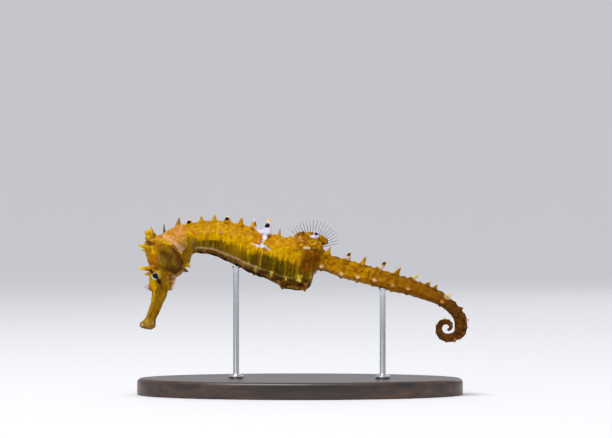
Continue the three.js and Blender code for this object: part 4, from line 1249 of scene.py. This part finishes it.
SPINE_TINTS = {
    # kind or ring: (colour, share of the height where it starts, share where it is full)
    "coronet": (LEMON, 0.1, 0.5), "side": (LEMON, 0.2, 0.7), "nose": (tone(206, 192, 226), 0.5, 0.64),
    "brow": (tone(232, 206, 60), 0.5, 0.85), "crest": (tone(214, 186, 40), 0.3, 0.7),
    "nape": (tone(84, 66, 20), 0.1, 0.5), "ridge": (tone(146, 98, 10), 0.15, 0.5),
    "temple": (tone(226, 178, 30), 0.5, 0.8), "gill": (tone(96, 70, 20), 0.3, 0.7),
    "chest": (tone(206, 170, 30), 0.3, 0.7), "shoulder": (tone(244, 206, 70), 0.2, 0.6),
    "belly": (tone(212, 192, 76), 0.5, 0.85), "tubercle": (tone(232, 194, 140), 0.0, 0.4),
    "keel": (tone(120, 84, 40), 0.3, 0.8), "tubercle_18": (tone(236, 180, 150), 0.0, 0.5),
    "tubercle_22": (tone(214, 146, 90), 0.3, 0.7), "tubercle_27": (tone(206, 132, 50), 0.3, 0.7),
    1: (BONE, 0.55, 0.7), 2: (BONE, 0.55, 0.8), 3: (tone(206, 196, 140), 0.5, 0.75),
    4: (BONE, 0.5, 0.7), 5: (tone(236, 210, 200), 0.64, 0.84), 6: (SADDLE_WHITE, 0.5, 0.74),
    7: (SADDLE_WHITE, 0.0, 0.1), 8: (tone(150, 140, 20), 0.2, 0.6), 9: (AMBER, 0.2, 0.8),
    10: (tone(90, 54, 10), 0.0, 0.4), 11: (SADDLE_WHITE, 0.0, 0.2),
    12: (GOLD, 0.3, 0.8), 14: (BONE, 0.72, 0.84), 16: (tone(180, 166, 60), 0.62, 0.9),
    18: (BONE, 0.8, 0.9), 20: (tone(206, 146, 30), 0.5, 0.9), 22: (tone(222, 200, 130), 0.2, 0.5),
    24: (tone(222, 190, 120), 0.3, 0.8), 25: (tone(196, 144, 20), 0.4, 0.9),
    27: (tone(226, 206, 150), 0.0, 0.2), 29: (tone(206, 124, 20), 0.3, 0.8),
    31: (tone(226, 200, 160), 0.0, 0.4), 35: (tone(200, 112, 30), 0.1, 0.5),
    41: (BONE, 0.0, 0.4),
}
RARE_TUBERCLES = ("tubercle_18", "tubercle_22", "tubercle_27")
QUIET = ("belly_6_", "belly_11_", "tubercle_20_")
FOOT_CAPS = {
    # ring: (size, tone)
    14: (1.1, tone(220, 204, 196)), 18: (1.3, tone(220, 204, 196)),
    22: (1.0, tone(224, 206, 160)), 27: (1.35, tone(230, 208, 150)),
}


def paint_coronet(colours):
    """The rear of the coronet is olive brown, and thin dark lines run up its column."""
    crown = smooth_step(46.0, 46.8, head_z) * smooth_step(-42.7, -43.3, head_x) * on_head
    rear = smooth_step(-44.9, -44.1, head_x + 0.8 * (layered(points, 0.8, 65) - 0.5))
    colours = paint(colours, tone(136, 98, 6), 0.85 * crown * rear)
    angle = np.arctan2(points[:, 1], head_x - CORONET["x"])
    lines = smooth_step(0.2, 0.8, np.cos(9 * angle + 3 * mottle(points, 0.9, 67)))
    column = smooth_step(48.9, 48.2, head_z)
    return paint(colours, tone(112, 78, 4), 0.6 * crown * lines * column)


def paint_spines(colours):
    """Tinted spines: each point near a spine's line takes the tint by its share of the way
    from root to tip. A few spines of the tail stand on a white patch."""
    for name, root, tip, radius, _, _ in spine_rows:
        run = tip - root
        length = np.linalg.norm(run)
        share = (points - root) @ run / length**2
        gap = np.linalg.norm(points - root - np.clip(share, 0, 1)[:, None] * run, axis=-1)
        soft = 0.15 if name.startswith("belly") else 0.35
        near = smooth_step(radius + soft, radius - soft, gap) * (share > 0)
        kind, number = name.split("_")[0], name.split("_")[1]
        key = int(number) if kind == "back" else kind
        key = name.rsplit("_", 1)[0] if name.startswith(tuple(RARE_TUBERCLES)) else key
        tint, low, high = SPINE_TINTS.get(key, (PEACH, 0.6, 0.9))
        plain = name.startswith(QUIET) or (kind == "back" and key not in SPINE_TINTS)
        strength = 0.35 if plain else 0.92
        colours = paint(colours, tint, strength * near * smooth_step(low, high, share))
        # Painted shade on the inner face of each brow spine, the face towards the middle of the head, in a dull
        # pinkish brown.
        if kind == "brow":
            off_line = points[:, 1] - (root + np.clip(share, 0, 1)[:, None] * run)[:, 1]
            inner = smooth_step(0.0, -0.5, off_line * np.sign(root[1]) / radius)
            colours = paint(colours, tone(170, 118, 76), 0.75 * near * inner)
        if kind == "back" and key in FOOT_CAPS:
            foot = mix(root, tip, 0.3)
            size, cap_tone = FOOT_CAPS[key]
            cap = smooth_step(size, 0.6 * size, np.linalg.norm(points - foot, axis=-1))
            colours = paint(colours, cap_tone, 0.85 * cap)
    return colours


EYE_SPOTS = [
    # ring, share of the spine's height, (x, outwards, z) from there, radius, white round it
    (1, 0.56, (-0.15, 0.62, -0.35), 0.64, 0.0), (4, 0.58, (-0.15, 0.65, -0.3), 0.62, 0.0),
    (7, 0.6, (-0.35, 0.6, -0.55), 0.86, 0.0), (11, 0.62, (0.0, 0.55, -0.3), 0.6, 1.0),
    (14, 0.56, (-0.2, 0.5, 0.0), 0.46, 0.0), (18, 0.68, (-0.1, 0.45, 0.0), 0.4, 0.0),
    (6, 0.42, (0.5, 0.4, 0.0), 0.4, 0.0),
]


def paint_spots(colours):
    """Black eye spots on the outer faces of some spines, one of them in a white field. The
    tallest pair has yellow tips."""
    for number, share, shift, size, white in EYE_SPOTS:
        for corner, side in ((1, 1), (13, -1)):
            root, tip, _ = spine_places(f"back_{number}_{corner}")
            middle = mix(root, tip, share) + np.array(shift) * (1, side, 1)
            gap = np.linalg.norm(points - middle, axis=-1)
            if white:
                flat = np.linalg.norm((points - middle + (0.3, 0, 0.4)) * (0.5, 1, 1), axis=-1)
                colours = paint(colours, SADDLE_WHITE, smooth_step(white, 0.7 * white, flat))
            if number == 7:
                near = smooth_step(1.5, 1.1, np.linalg.norm(points - tip, axis=-1))
                colours = paint(colours, tone(232, 196, 90), near)
            spot = smooth_step(size * 1.12, size * 0.85, gap)
            colours = paint(colours, INK if number != 11 else tone(34, 34, 92), spot)
    return colours


SPECKLE_SHARES = (0.75, 1.15, 1.0)  # green varies more than red: from orange to lemon

trunk_paint = paint_saddle(paint_trunk())
skin_colours = mix(trunk_paint, paint_tail(), on_tail[:, None])
skin_colours = mix(skin_colours, paint_head(), on_head[:, None])
speckle = 0.6 * mottle(points, 0.5, 71) + 0.4 * mottle(points, 0.95, 73)
speckle_range = mix(1.0, 0.5, on_head * smooth_step(47.0, 45.0, head_z)) * mix(1.0, 0.75, on_tail)
speckle_range = speckle_range[:, None] * np.array(SPECKLE_SHARES)
skin_colours = skin_colours * (0.95 + speckle_range * (speckle - 0.5)[:, None])
skin_colours = paint_spots(paint_coronet(paint_spines(skin_colours)))
print("mean colour", skin_colours.mean(0).round(3))

# %% [markdown]
# The animal leans over by 17 degrees, belly towards the left side of its own body, as it
# does in the water. Everything so far was worked out upright, in millimetres. This step
# leans the finished piece about a line at the height of its back, and makes it metres.

# %% Lean and scale
BANK = np.radians(17)
BANK_HEIGHT = 42.0


def leaned(points):
    """A turn by the bank angle in the plane of y and z, round the height given."""
    y, z = points[..., 1], points[..., 2] - BANK_HEIGHT
    turned_y = y * np.cos(BANK) + z * np.sin(BANK)
    turned_z = z * np.cos(BANK) - y * np.sin(BANK) + BANK_HEIGHT
    return np.stack([points[..., 0], turned_y, turned_z], -1)


def place(points):
    return leaned(points) * MM


def colour_points(mesh, colours, name="tone"):
    """Stores one colour for each point of a mesh."""
    layer = mesh.color_attributes.new(name, "FLOAT_COLOR", "POINT")
    full = np.column_stack([colours, np.ones(len(colours))])
    layer.data.foreach_set("color", full.astype(np.float32).ravel())


skin_mesh.name = "skin"
skin_mesh.vertices.foreach_set("co", place(points).astype(np.float32).ravel())
skin_mesh.update()
colour_points(skin_mesh, skin_colours)
skin = bpy.data.objects.new("skin", skin_mesh)
scene.collection.objects.link(skin)
skin_mesh.polygons.foreach_set("use_smooth", np.ones(len(skin_mesh.polygons), bool))

# %% [markdown]
# Materials are built from a few nodes. A helper makes the surface shader, sets its plain
# numbers on its own sockets, and keeps the node code short. Patterns use Object
# coordinates, which are metres, so a pattern's scale is one over its size in metres.

# %% Material helpers
def new_material(name, **values):
    """A material with one surface shader, and the numbers given set on its sockets."""
    material = bpy.data.materials.new(name)
    material.use_nodes = True
    shader = material.node_tree.nodes["Principled BSDF"]
    for socket, value in values.items():
        shader.inputs[socket.replace("_", " ")].default_value = value
    return material, shader


def add_node(material, kind, settings=None, **links):
    """A node, with values set by socket name and links given as name=output socket."""
    node = material.node_tree.nodes.new(kind)
    for socket, value in (settings or {}).items():
        node.inputs[socket].default_value = value
    for socket, source in links.items():
        material.node_tree.links.new(source, node.inputs[socket.replace("_", " ")])
    return node


def join_nodes(material, source, target):
    material.node_tree.links.new(source, target)


def noise_field(material, size_mm, detail=3.0, rough=0.55):
    place_node = add_node(material, "ShaderNodeTexCoord")
    settings = {"Scale": 1 / (size_mm * MM), "Detail": detail, "Roughness": rough}
    noise = add_node(material, "ShaderNodeTexNoise", settings)
    join_nodes(material, place_node.outputs["Object"], noise.inputs["Vector"])
    return noise.outputs["Fac"]


def ramp(material, source, low, high, start=0.0, end=1.0):
    """Moves a value from the range low to high into the range start to end."""
    node = add_node(material, "ShaderNodeMapRange")
    node.inputs["From Min"].default_value = low
    node.inputs["From Max"].default_value = high
    node.inputs["To Min"].default_value = start
    node.inputs["To Max"].default_value = end
    join_nodes(material, source, node.inputs["Value"])
    return node.outputs["Result"]


def tinted(material, colour, amount, blend="MULTIPLY"):
    """The colour times a grey level."""
    node = material.node_tree.nodes.new("ShaderNodeMix")
    node.data_type = "RGBA"
    node.blend_type = blend
    node.inputs["Factor"].default_value = 1.0
    join_nodes(material, colour, node.inputs[6])
    grey = add_node(material, "ShaderNodeCombineColor")
    for socket in ("Red", "Green", "Blue"):
        join_nodes(material, amount, grey.inputs[socket])
    join_nodes(material, grey.outputs["Color"], node.inputs[7])
    return node.outputs[2]


def bumped(material, shader, field, height_mm, strength=1.0):
    node = add_node(material, "ShaderNodeBump", {"Strength": strength, "Distance": height_mm * MM})
    join_nodes(material, field, node.inputs["Height"])
    join_nodes(material, node.outputs["Normal"], shader.inputs["Normal"])


def painted(material, name="tone"):
    node = material.node_tree.nodes.new("ShaderNodeVertexColor")
    node.layer_name = name
    return node.outputs["Color"]


# %% [markdown]
# Living seahorse skin is thin and slightly slimy over bone: matt in itself, with a weak
# wet film on top. The painted tone is varied by a fine grain, and the same kind of grain
# makes a very low bump.

# %% Skin material
def skin_material():
    material, shader = new_material(
        "skin", Roughness=0.5, Specular_IOR_Level=0.05, Coat_Weight=0.02, Coat_Roughness=0.25,
    )
    shader.inputs["Specular Tint"].default_value = (1.0, 0.72, 0.3, 1)
    grain = ramp(material, noise_field(material, 0.45, 4.0), 0.3, 0.7, 0.86, 1.1)
    colour = tinted(material, painted(material), grain)
    join_nodes(material, colour, shader.inputs["Base Color"])
    rough = ramp(material, noise_field(material, 1.2), 0.35, 0.65, 0.42, 0.58)
    join_nodes(material, rough, shader.inputs["Roughness"])
    bumped(material, shader, noise_field(material, 0.3, 3.0), 0.05)
    return material


def finish_piece(thing, materials, nodes):
    """Gives a piece its materials and its place on the one body, and hides the imported parts it stands in for."""
    for material in materials:
        thing.data.materials.append(material)
    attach(thing, BODY)
    if nodes:
        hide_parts(*nodes)
    print(thing.name, len(thing.data.vertices), "points")


BODY = next(iter(frame["bodies"]))
TAIL_NODES = [name for name in frame["nodes"] if name.startswith("tail_")]
TRUNK_NODES = ["neck", "trunk_front", "trunk_middle", "trunk_rear"]
finish_piece(skin, [skin_material()], ["head", "coronet", *TRUNK_NODES, *TAIL_NODES])

# %% [markdown]
# The eyes are smooth balls under a clear wet film. The iris is pale, silvery white low in
# front and yellow above behind, and a dark bar crosses it through the round black pupil.

# %% Eyes
def eye_piece(name, side):
    """A ball as circles round the line of sight, from the front pole to the back, with a
    low bulge for the cornea."""
    angle = np.linspace(0, np.pi, 64)[1:-1, None]
    turn = np.linspace(0, 2 * np.pi, 72, endpoint=False)[None, :]
    radius = EYE["radius"] * (1 + 0.05 * np.exp(-((angle / 0.6) ** 2)))
    around = radius * np.sin(angle)
    x = EYE["x"] + around * np.cos(turn)
    z = EYE["z"] + around * np.sin(turn)
    y = side * (EYE["y"] + np.broadcast_to(radius * np.cos(angle), x.shape))
    grid = np.stack([x, y, z], -1)
    centre = np.array([EYE["x"], side * EYE["y"], EYE["z"]])
    front = centre + (0, side * EYE["radius"] * 1.05, 0)
    vertices, quads, triangles = tube(grid, front, centre - (0, side * EYE["radius"], 0))
    if side > 0:
        quads, triangles = quads[:, ::-1], triangles[:, ::-1]
    across = (vertices[:, 0] - EYE["x"]) / EYE["radius"]
    up = (vertices[:, 2] - EYE["z"]) / EYE["radius"]
    reach = np.hypot(across, up)
    iris = mix(tone(132, 96, 24), tone(178, 160, 84), smooth_step(-0.1, 0.4, across + 0.3 * up)[:, None])
    low = smooth_step(0.2, -0.05, across + 0.5 * up + 0.1) * smooth_step(0.0, -0.3, up)
    white = smooth_step(-0.12, -0.4, across + 0.2 * up) * smooth_step(0.5, 0.2, up)
    colours = paint(iris, tone(206, 200, 140), low)
    colours = paint(colours, tone(222, 230, 246), white)
    colours = paint(colours, tone(110, 76, 16), smooth_step(0.82, 0.95, reach))
    slant = across * 0.77 + up * 0.63 + 0.02
    along = across * 0.63 - up * 0.77
    bar = hump(slant, 0.02, 0.36) * smooth_step(0.5, 0.2, up)
    colours = paint(colours, tone(30, 22, 24), 0.95 * bar)
    pupil = np.hypot(slant, (along + 0.02) * 0.84)
    colours = paint(colours, tone(196, 150, 50), hump(pupil, 0.58, 0.05) * 0.6 * (1 - bar))
    colours = paint(colours, tone(3, 4, 12), smooth_step(0.56, 0.5, pupil))
    glint = np.hypot(across + 0.3, up - 0.6)
    colours = paint(colours, tone(236, 196, 196), 0.85 * smooth_step(0.2, 0.1, glint))
    thing = new_mesh(name, place(turned(vertices)), quads, triangles)
    colour_points(thing.data, colours)
    return thing


def eye_material():
    material, shader = new_material(
        "eye", Roughness=0.2, Specular_IOR_Level=0.05, Coat_Weight=0.14, Coat_Roughness=0.03,
    )
    fibres = ramp(material, noise_field(material, 0.18, 4.0), 0.3, 0.7, 0.85, 1.1)
    join_nodes(material, tinted(material, painted(material), fibres), shader.inputs["Base Color"])
    return material


EYE_MATERIAL = eye_material()
for name, side in (("eyeball_left", -1), ("eyeball_right", 1)):
    node = name.replace("ball", "")
    finish_piece(eye_piece(name, side), [EYE_MATERIAL], [node])

# %% [markdown]
# A fin is a fan of thin bony rays that carry a clear film. The film is a sheet of two
# close skins, folded a little between the rays. Each ray is a slim tube that tapers to its
# tip. Film and rays are one piece with two materials.

# %% Fins
def fan_film(root, tip, thickness, fold, rows=14):
    """Film between rays. root and tip hold one point for each column; the columns lie on
    rays and between them, and fold moves every other column sideways. The two skins are
    half the thickness to either side, and a rim joins them."""
    share = np.linspace(0, 1, rows)[:, None, None]
    sheet = mix(root[None], tip[None], share)
    columns = len(root)
    wave = np.where(np.arange(columns) % 2 == 0, 1, -1) * fold
    sheet[..., 1] += wave[None, :] * share[..., 0]
    near, far = sheet.copy(), sheet.copy()
    near[..., 1] -= thickness / 2
    far[..., 1] += thickness / 2
    loop = np.concatenate([near, far[:, ::-1]], 1)
    start = loop[0].mean(0)
    end = loop[-1].mean(0)
    quads, _ = tube_faces(rows, 2 * columns)
    vertices = loop.reshape(-1, 3)
    column = np.arange(columns - 1)
    foot = np.stack([column, 2 * columns - 1 - column, 2 * columns - 2 - column, column + 1], -1)
    top = (rows - 1) * 2 * columns + foot[:, ::-1]
    return vertices, np.concatenate([quads, foot[:, ::-1], top[:, ::-1]]), np.zeros((0, 3), int)


def ray_tube(root, tip, thick, thin, bend, sides=8, rows=16):
    """A slim tube from root to tip whose radius falls evenly, bent sideways by a parabola."""
    share = np.linspace(0, 1, rows)[:, None]
    line = mix(root, tip, share) + bend * (share * (1 - share) * 4)
    along = unit(tip - root)
    across = unit(np.cross(along, (0, 1, 0)))
    other = np.cross(along, across)
    angle = np.linspace(0, 2 * np.pi, sides, endpoint=False)
    spoke = across * np.cos(angle)[:, None] + other * np.sin(angle)[:, None]
    radius = mix(thick, thin, share)
    grid = line[:, None, :] + spoke[None] * radius[:, :, None]
    return tube(grid, line[0], line[-1])


def fin_material(name, alpha, size_mm, low, high):
    """Painted tone varied by a fine noise; the film lets light through, the rays don't."""
    material, shader = new_material(
        name, Roughness=0.35, Alpha=alpha, Specular_IOR_Level=0.25,
    )
    shade = ramp(material, noise_field(material, size_mm), 0.35, 0.65, low, high)
    join_nodes(material, tinted(material, painted(material), shade), shader.inputs["Base Color"])
    return material


def fin_piece(name, root, tip, thickness, fold, ray_size, alpha, film_tones, ray_tones, node):
    """Film and rays of one fin: every second column of the film carries a ray. The tones
    are given column by column and ray by ray."""
    film = fan_film(root, tip, thickness, fold)
    rays = []
    for k in range(0, len(root), 2):
        side = np.array([0, fold, 0])
        rays.append(ray_tube(root[k], tip[k] + side, ray_size, ray_size * 0.5, np.zeros(3)))
    vertices, quads, triangles = gather([film, *rays])
    thing = new_mesh(name, place(vertices), quads, triangles)
    rows = len(film[0]) // (2 * len(root))
    film_colours = np.tile(np.concatenate([film_tones, film_tones[::-1]]), (rows, 1))
    ray_colours = np.repeat(ray_tones, len(rays[0][0]), axis=0)
    colour_points(thing.data, np.concatenate([film_colours, ray_colours]))
    index = np.ones(len(thing.data.polygons), np.int32)
    index[:len(film[1])] = 0
    film_finish = fin_material(name + "_film", alpha, 0.6, 0.9, 1.1)
    ray_finish = fin_material(name + "_ray", 1.0, 0.25, 0.75, 1.2)
    finish_piece(thing, [film_finish, ray_finish], [node])
    thing.data.polygons.foreach_set("material_index", index)
    return thing


def in_turn(tones, count):
    """The tones one after the other, again and again."""
    return np.array(tones)[np.arange(count) % len(tones)]


DORSAL = {"x": 3.3, "z": 43.6, "radius": 9.3, "from": 14, "to": 134, "rays": 18, "inner": 3.4}


def dorsal_fin():
    """Rays on a fan round one centre, with the longest in the middle."""
    count = 2 * DORSAL["rays"] - 1
    angle = np.radians(np.linspace(DORSAL["to"], DORSAL["from"], count))
    out = np.stack([np.cos(angle), np.zeros(count), np.sin(angle)], -1)
    centre = np.array([DORSAL["x"], 0, DORSAL["z"]])
    share = np.linspace(-1, 1, count)
    length = DORSAL["radius"] * (1.02 - 0.09 * share**2)
    length = length - np.where(np.arange(count) % 2 == 0, 0, 0.45)
    root = centre + out * DORSAL["inner"]
    tip = centre + out * length[:, None]
    film = in_turn([tone(226, 226, 236)], count)
    rays = in_turn([tone(52, 42, 66), tone(70, 58, 84)], DORSAL["rays"])
    return fin_piece("dorsal_fan", root, tip, 0.05, 0.08, 0.1, 0.05, film, rays, "dorsal_fin")


PECTORAL = {"x": -37.2, "y": 3.8, "z": 45.2, "length": 3.9, "height": 2.5, "aim": -44, "rays": 7}


PECTORAL_TONES = [
    tone(176, 116, 20), tone(230, 178, 130), tone(234, 186, 142), tone(216, 154, 50),
    tone(206, 138, 22), tone(230, 180, 16), tone(206, 146, 12),
]


def pectoral_fin(name, side, node):
    """Rays from a short root line behind the gill cover. The line lies square to the way
    that the fin points, back and down, and the rays spread only a little: it is folded."""
    count = 2 * PECTORAL["rays"] - 1
    share = np.linspace(-1, 1, count)
    aim = np.radians(PECTORAL["aim"])
    angle = aim + share * 0.3
    offset = share * PECTORAL["height"] / 2
    length = PECTORAL["length"] * (1 - 0.25 * share**2)
    zero = np.zeros(count)
    root = np.stack([
        PECTORAL["x"] - offset * np.sin(aim),
        side * PECTORAL["y"] + zero,
        PECTORAL["z"] + offset * np.cos(aim),
    ], -1)
    out = np.stack([np.cos(angle), side * 0.1 + zero, np.sin(angle)], -1)
    tip = root + out * length[:, None]
    rays = np.array(PECTORAL_TONES)
    film = rays[np.arange(count) // 2] * np.where(np.arange(count) % 2, 0.32, 0.62)[:, None]
    return fin_piece(name, root, tip, 0.12, 0.3, 0.22, 0.97, film, rays, node)


def anal_fin():
    count = 9
    share = np.linspace(0, 1, count)
    root = np.stack([4.0 + 0.5 * share, 0 * share, 36.6 + 0.6 * share], -1)
    angle = np.radians(-62 + 62 * share)
    out = np.stack([np.cos(angle), 0 * angle, np.sin(angle)], -1)
    tip = root + out * 0.9
    film = in_turn([tone(150, 120, 70)], count)
    rays = in_turn([tone(120, 84, 30)], (count + 1) // 2)
    return fin_piece("anal_fan", root, tip, 0.06, 0.04, 0.06, 0.3, film, rays, "anal_fin")


dorsal_fin()
pectoral_fin("pectoral_fan_left", -1, "pectoral_fin_left")
pectoral_fin("pectoral_fan_right", 1, "pectoral_fin_right")
anal_fin()

# %% [markdown]
# The stand is an oval base of dark wood with a rounded edge, and two steel rods. The base
# is a profile carried round an oval: the profile goes in from the middle of the top, round
# the edge, and back under.

# %% Stand
BASE = {"length": 98.0, "width": 44.0, "thickness": 5.0, "round": 1.4}
ROD = {"radius": 0.9, "collar": 2.2, "collar_height": 1.2}
ROD_RINGS = {"stand_rod_front": 5, "stand_rod_rear": 19}


def oval_base():
    """Rings of an oval that shrink inwards by the profile's inset at each height."""
    turn = np.linspace(0, np.pi / 2, 9)
    soft = BASE["round"]
    top = BASE["thickness"]
    low = np.linspace(0, np.pi / 2, 5)
    inset = np.concatenate([
        0.5 - 0.5 * np.sin(low), soft - soft * np.cos(turn), [4.0, 9.0, 14.0, 18.0],
    ])
    height = np.concatenate([
        0.5 - 0.5 * np.cos(low), top - soft + soft * np.sin(turn), np.full(4, top),
    ])
    angle = np.linspace(0, 2 * np.pi, 160, endpoint=False)[None, :]
    length = BASE["length"] / 2 - inset[:, None]
    width = BASE["width"] / 2 - inset[:, None]
    grid = np.stack([length * np.cos(angle), width * np.sin(angle),
                     np.broadcast_to(height[:, None], (len(height), angle.shape[1]))], -1)
    return tube(grid, (0, 0, 0), (0, 0, top))


def rod(ring):
    """A turned rod on a collar, which widens to a small saddle just under the belly."""
    keel = leaned(body_frame(float(ring))[1])
    foot = BASE["thickness"]
    top = keel[2] - 0.25
    profile = np.array([
        (ROD["collar"], foot), (ROD["collar"], foot + 0.8), (ROD["collar"] - 0.2, foot + 1.0),
        (ROD["radius"] + 0.25, foot + 1.15), (ROD["radius"], foot + 1.6),
        (ROD["radius"], top - 2.0), (ROD["radius"] + 0.1, top - 0.8),
        (ROD["radius"] + 0.45, top), (ROD["radius"] + 0.3, top + 0.15),
    ])
    angle = np.linspace(0, 2 * np.pi, 40, endpoint=False)[None, :]
    radius, height = profile[:, :1], np.broadcast_to(profile[:, 1:], (len(profile), 40))
    grid = np.stack([keel[0] + radius * np.cos(angle), keel[1] + radius * np.sin(angle), height], -1)
    return tube(grid, grid[0].mean(0), grid[-1].mean(0))


def wood_material():
    material, shader = new_material("stand_wood", Roughness=0.4, Coat_Weight=0.35, Coat_Roughness=0.2)
    coords = add_node(material, "ShaderNodeTexCoord")
    stretch = add_node(material, "ShaderNodeMapping", {"Scale": (25.0, 400.0, 400.0)})
    join_nodes(material, coords.outputs["Object"], stretch.inputs["Vector"])
    grain = add_node(material, "ShaderNodeTexNoise", {"Scale": 1.0, "Detail": 6.0})
    join_nodes(material, stretch.outputs["Vector"], grain.inputs["Vector"])
    tones = add_node(material, "ShaderNodeValToRGB", Fac=grain.outputs["Fac"])
    tones.color_ramp.elements[0].color = (*tone(34, 20, 13), 1)
    tones.color_ramp.elements[0].position = 0.35
    tones.color_ramp.elements[1].color = (*tone(84, 54, 34), 1)
    tones.color_ramp.elements[1].position = 0.7
    join_nodes(material, tones.outputs["Color"], shader.inputs["Base Color"])
    bumped(material, shader, grain.outputs["Fac"], 0.05)
    return material


def steel_material():
    material, shader = new_material("stand_steel", Metallic=1.0, Roughness=0.28)
    shader.inputs["Base Color"].default_value = (*tone(196, 199, 204), 1)
    coords = add_node(material, "ShaderNodeTexCoord")
    stretch = add_node(material, "ShaderNodeMapping", {"Scale": (900.0, 900.0, 6000.0)})
    join_nodes(material, coords.outputs["Object"], stretch.inputs["Vector"])
    lines = add_node(material, "ShaderNodeTexNoise", {"Scale": 1.0, "Detail": 2.0})
    join_nodes(material, stretch.outputs["Vector"], lines.inputs["Vector"])
    rough = ramp(material, lines.outputs["Fac"], 0.3, 0.7, 0.2, 0.36)
    join_nodes(material, rough, shader.inputs["Roughness"])
    bumped(material, shader, lines.outputs["Fac"], 0.01)
    return material


base_vertices, base_quads, base_triangles = oval_base()
base = new_mesh("oval_base", base_vertices * MM, base_quads, base_triangles)
finish_piece(base, [wood_material()], ["stand_base"])
STEEL = steel_material()
for node, ring_number in ROD_RINGS.items():
    rod_vertices, rod_quads, rod_triangles = rod(ring_number)
    piece = new_mesh(node.replace("stand_", ""), rod_vertices * MM, rod_quads, rod_triangles)
    finish_piece(piece, [STEEL], [node])

# %% [markdown]
# The studio is a wide pale bowl: flat where the model stands, and curving up far away, so
# there is no corner from any side. The lights are large and soft. The main one is above
# and a little in front, as light falls on an animal in water.

# %% Studio
def studio_floor():
    """A surface of revolution: flat to 1.2 m, then a quarter circle up to a wall."""
    bend = np.radians(np.linspace(0, 80, 14))
    radius = np.concatenate([[0.2, 0.6], 1.2 + 1.2 * np.sin(bend)])
    height = np.concatenate([[0, 0], 1.2 - 1.2 * np.cos(bend)])
    angle = np.linspace(0, 2 * np.pi, 96, endpoint=False)
    grid = np.stack([radius[:, None] * np.cos(angle), radius[:, None] * np.sin(angle),
                     np.broadcast_to(height[:, None], (len(radius), 96))], -1)
    vertices, quads, triangles = tube(grid, (0, 0, 0), (0, 0, 0))
    keep = triangles[:96, ::-1]
    return new_mesh("studio_floor", vertices[:-1], quads[:, ::-1], keep)


floor = studio_floor()
floor_material, _ = new_material("floor", Roughness=0.9)
floor_material.node_tree.nodes["Principled BSDF"].inputs["Base Color"].default_value = (0.86, 0.86, 0.87, 1)
floor.data.materials.append(floor_material)


def soft_light(name, place_m, target, size, power, colour=(1, 1, 1)):
    data = bpy.data.lights.new(name, "AREA")
    data.shape = "DISK"
    data.size = size
    data.energy = power
    data.color = colour
    lamp = bpy.data.objects.new(name, data)
    scene.collection.objects.link(lamp)
    lamp.location = place_m
    aim = Vector(target) - Vector(place_m)
    lamp.rotation_euler = aim.to_track_quat("-Z", "Y").to_euler()


TARGET = (0, 0, 0.045)
soft_light("top", (-0.15, -0.25, 0.9), TARGET, 0.4, 4.8)
soft_light("front", (-0.5, -0.9, 0.45), TARGET, 0.6, 0.8)
soft_light("back", (0.5, 0.8, 0.5), TARGET, 0.6, 0.8)

world = bpy.data.worlds.new("studio")
scene.world = world
world.use_nodes = True
world.node_tree.nodes["Background"].inputs["Color"].default_value = (0.94, 0.95, 1.0, 1)
world.node_tree.nodes["Background"].inputs["Strength"].default_value = 0.65
scene.view_settings.view_transform = "Standard"
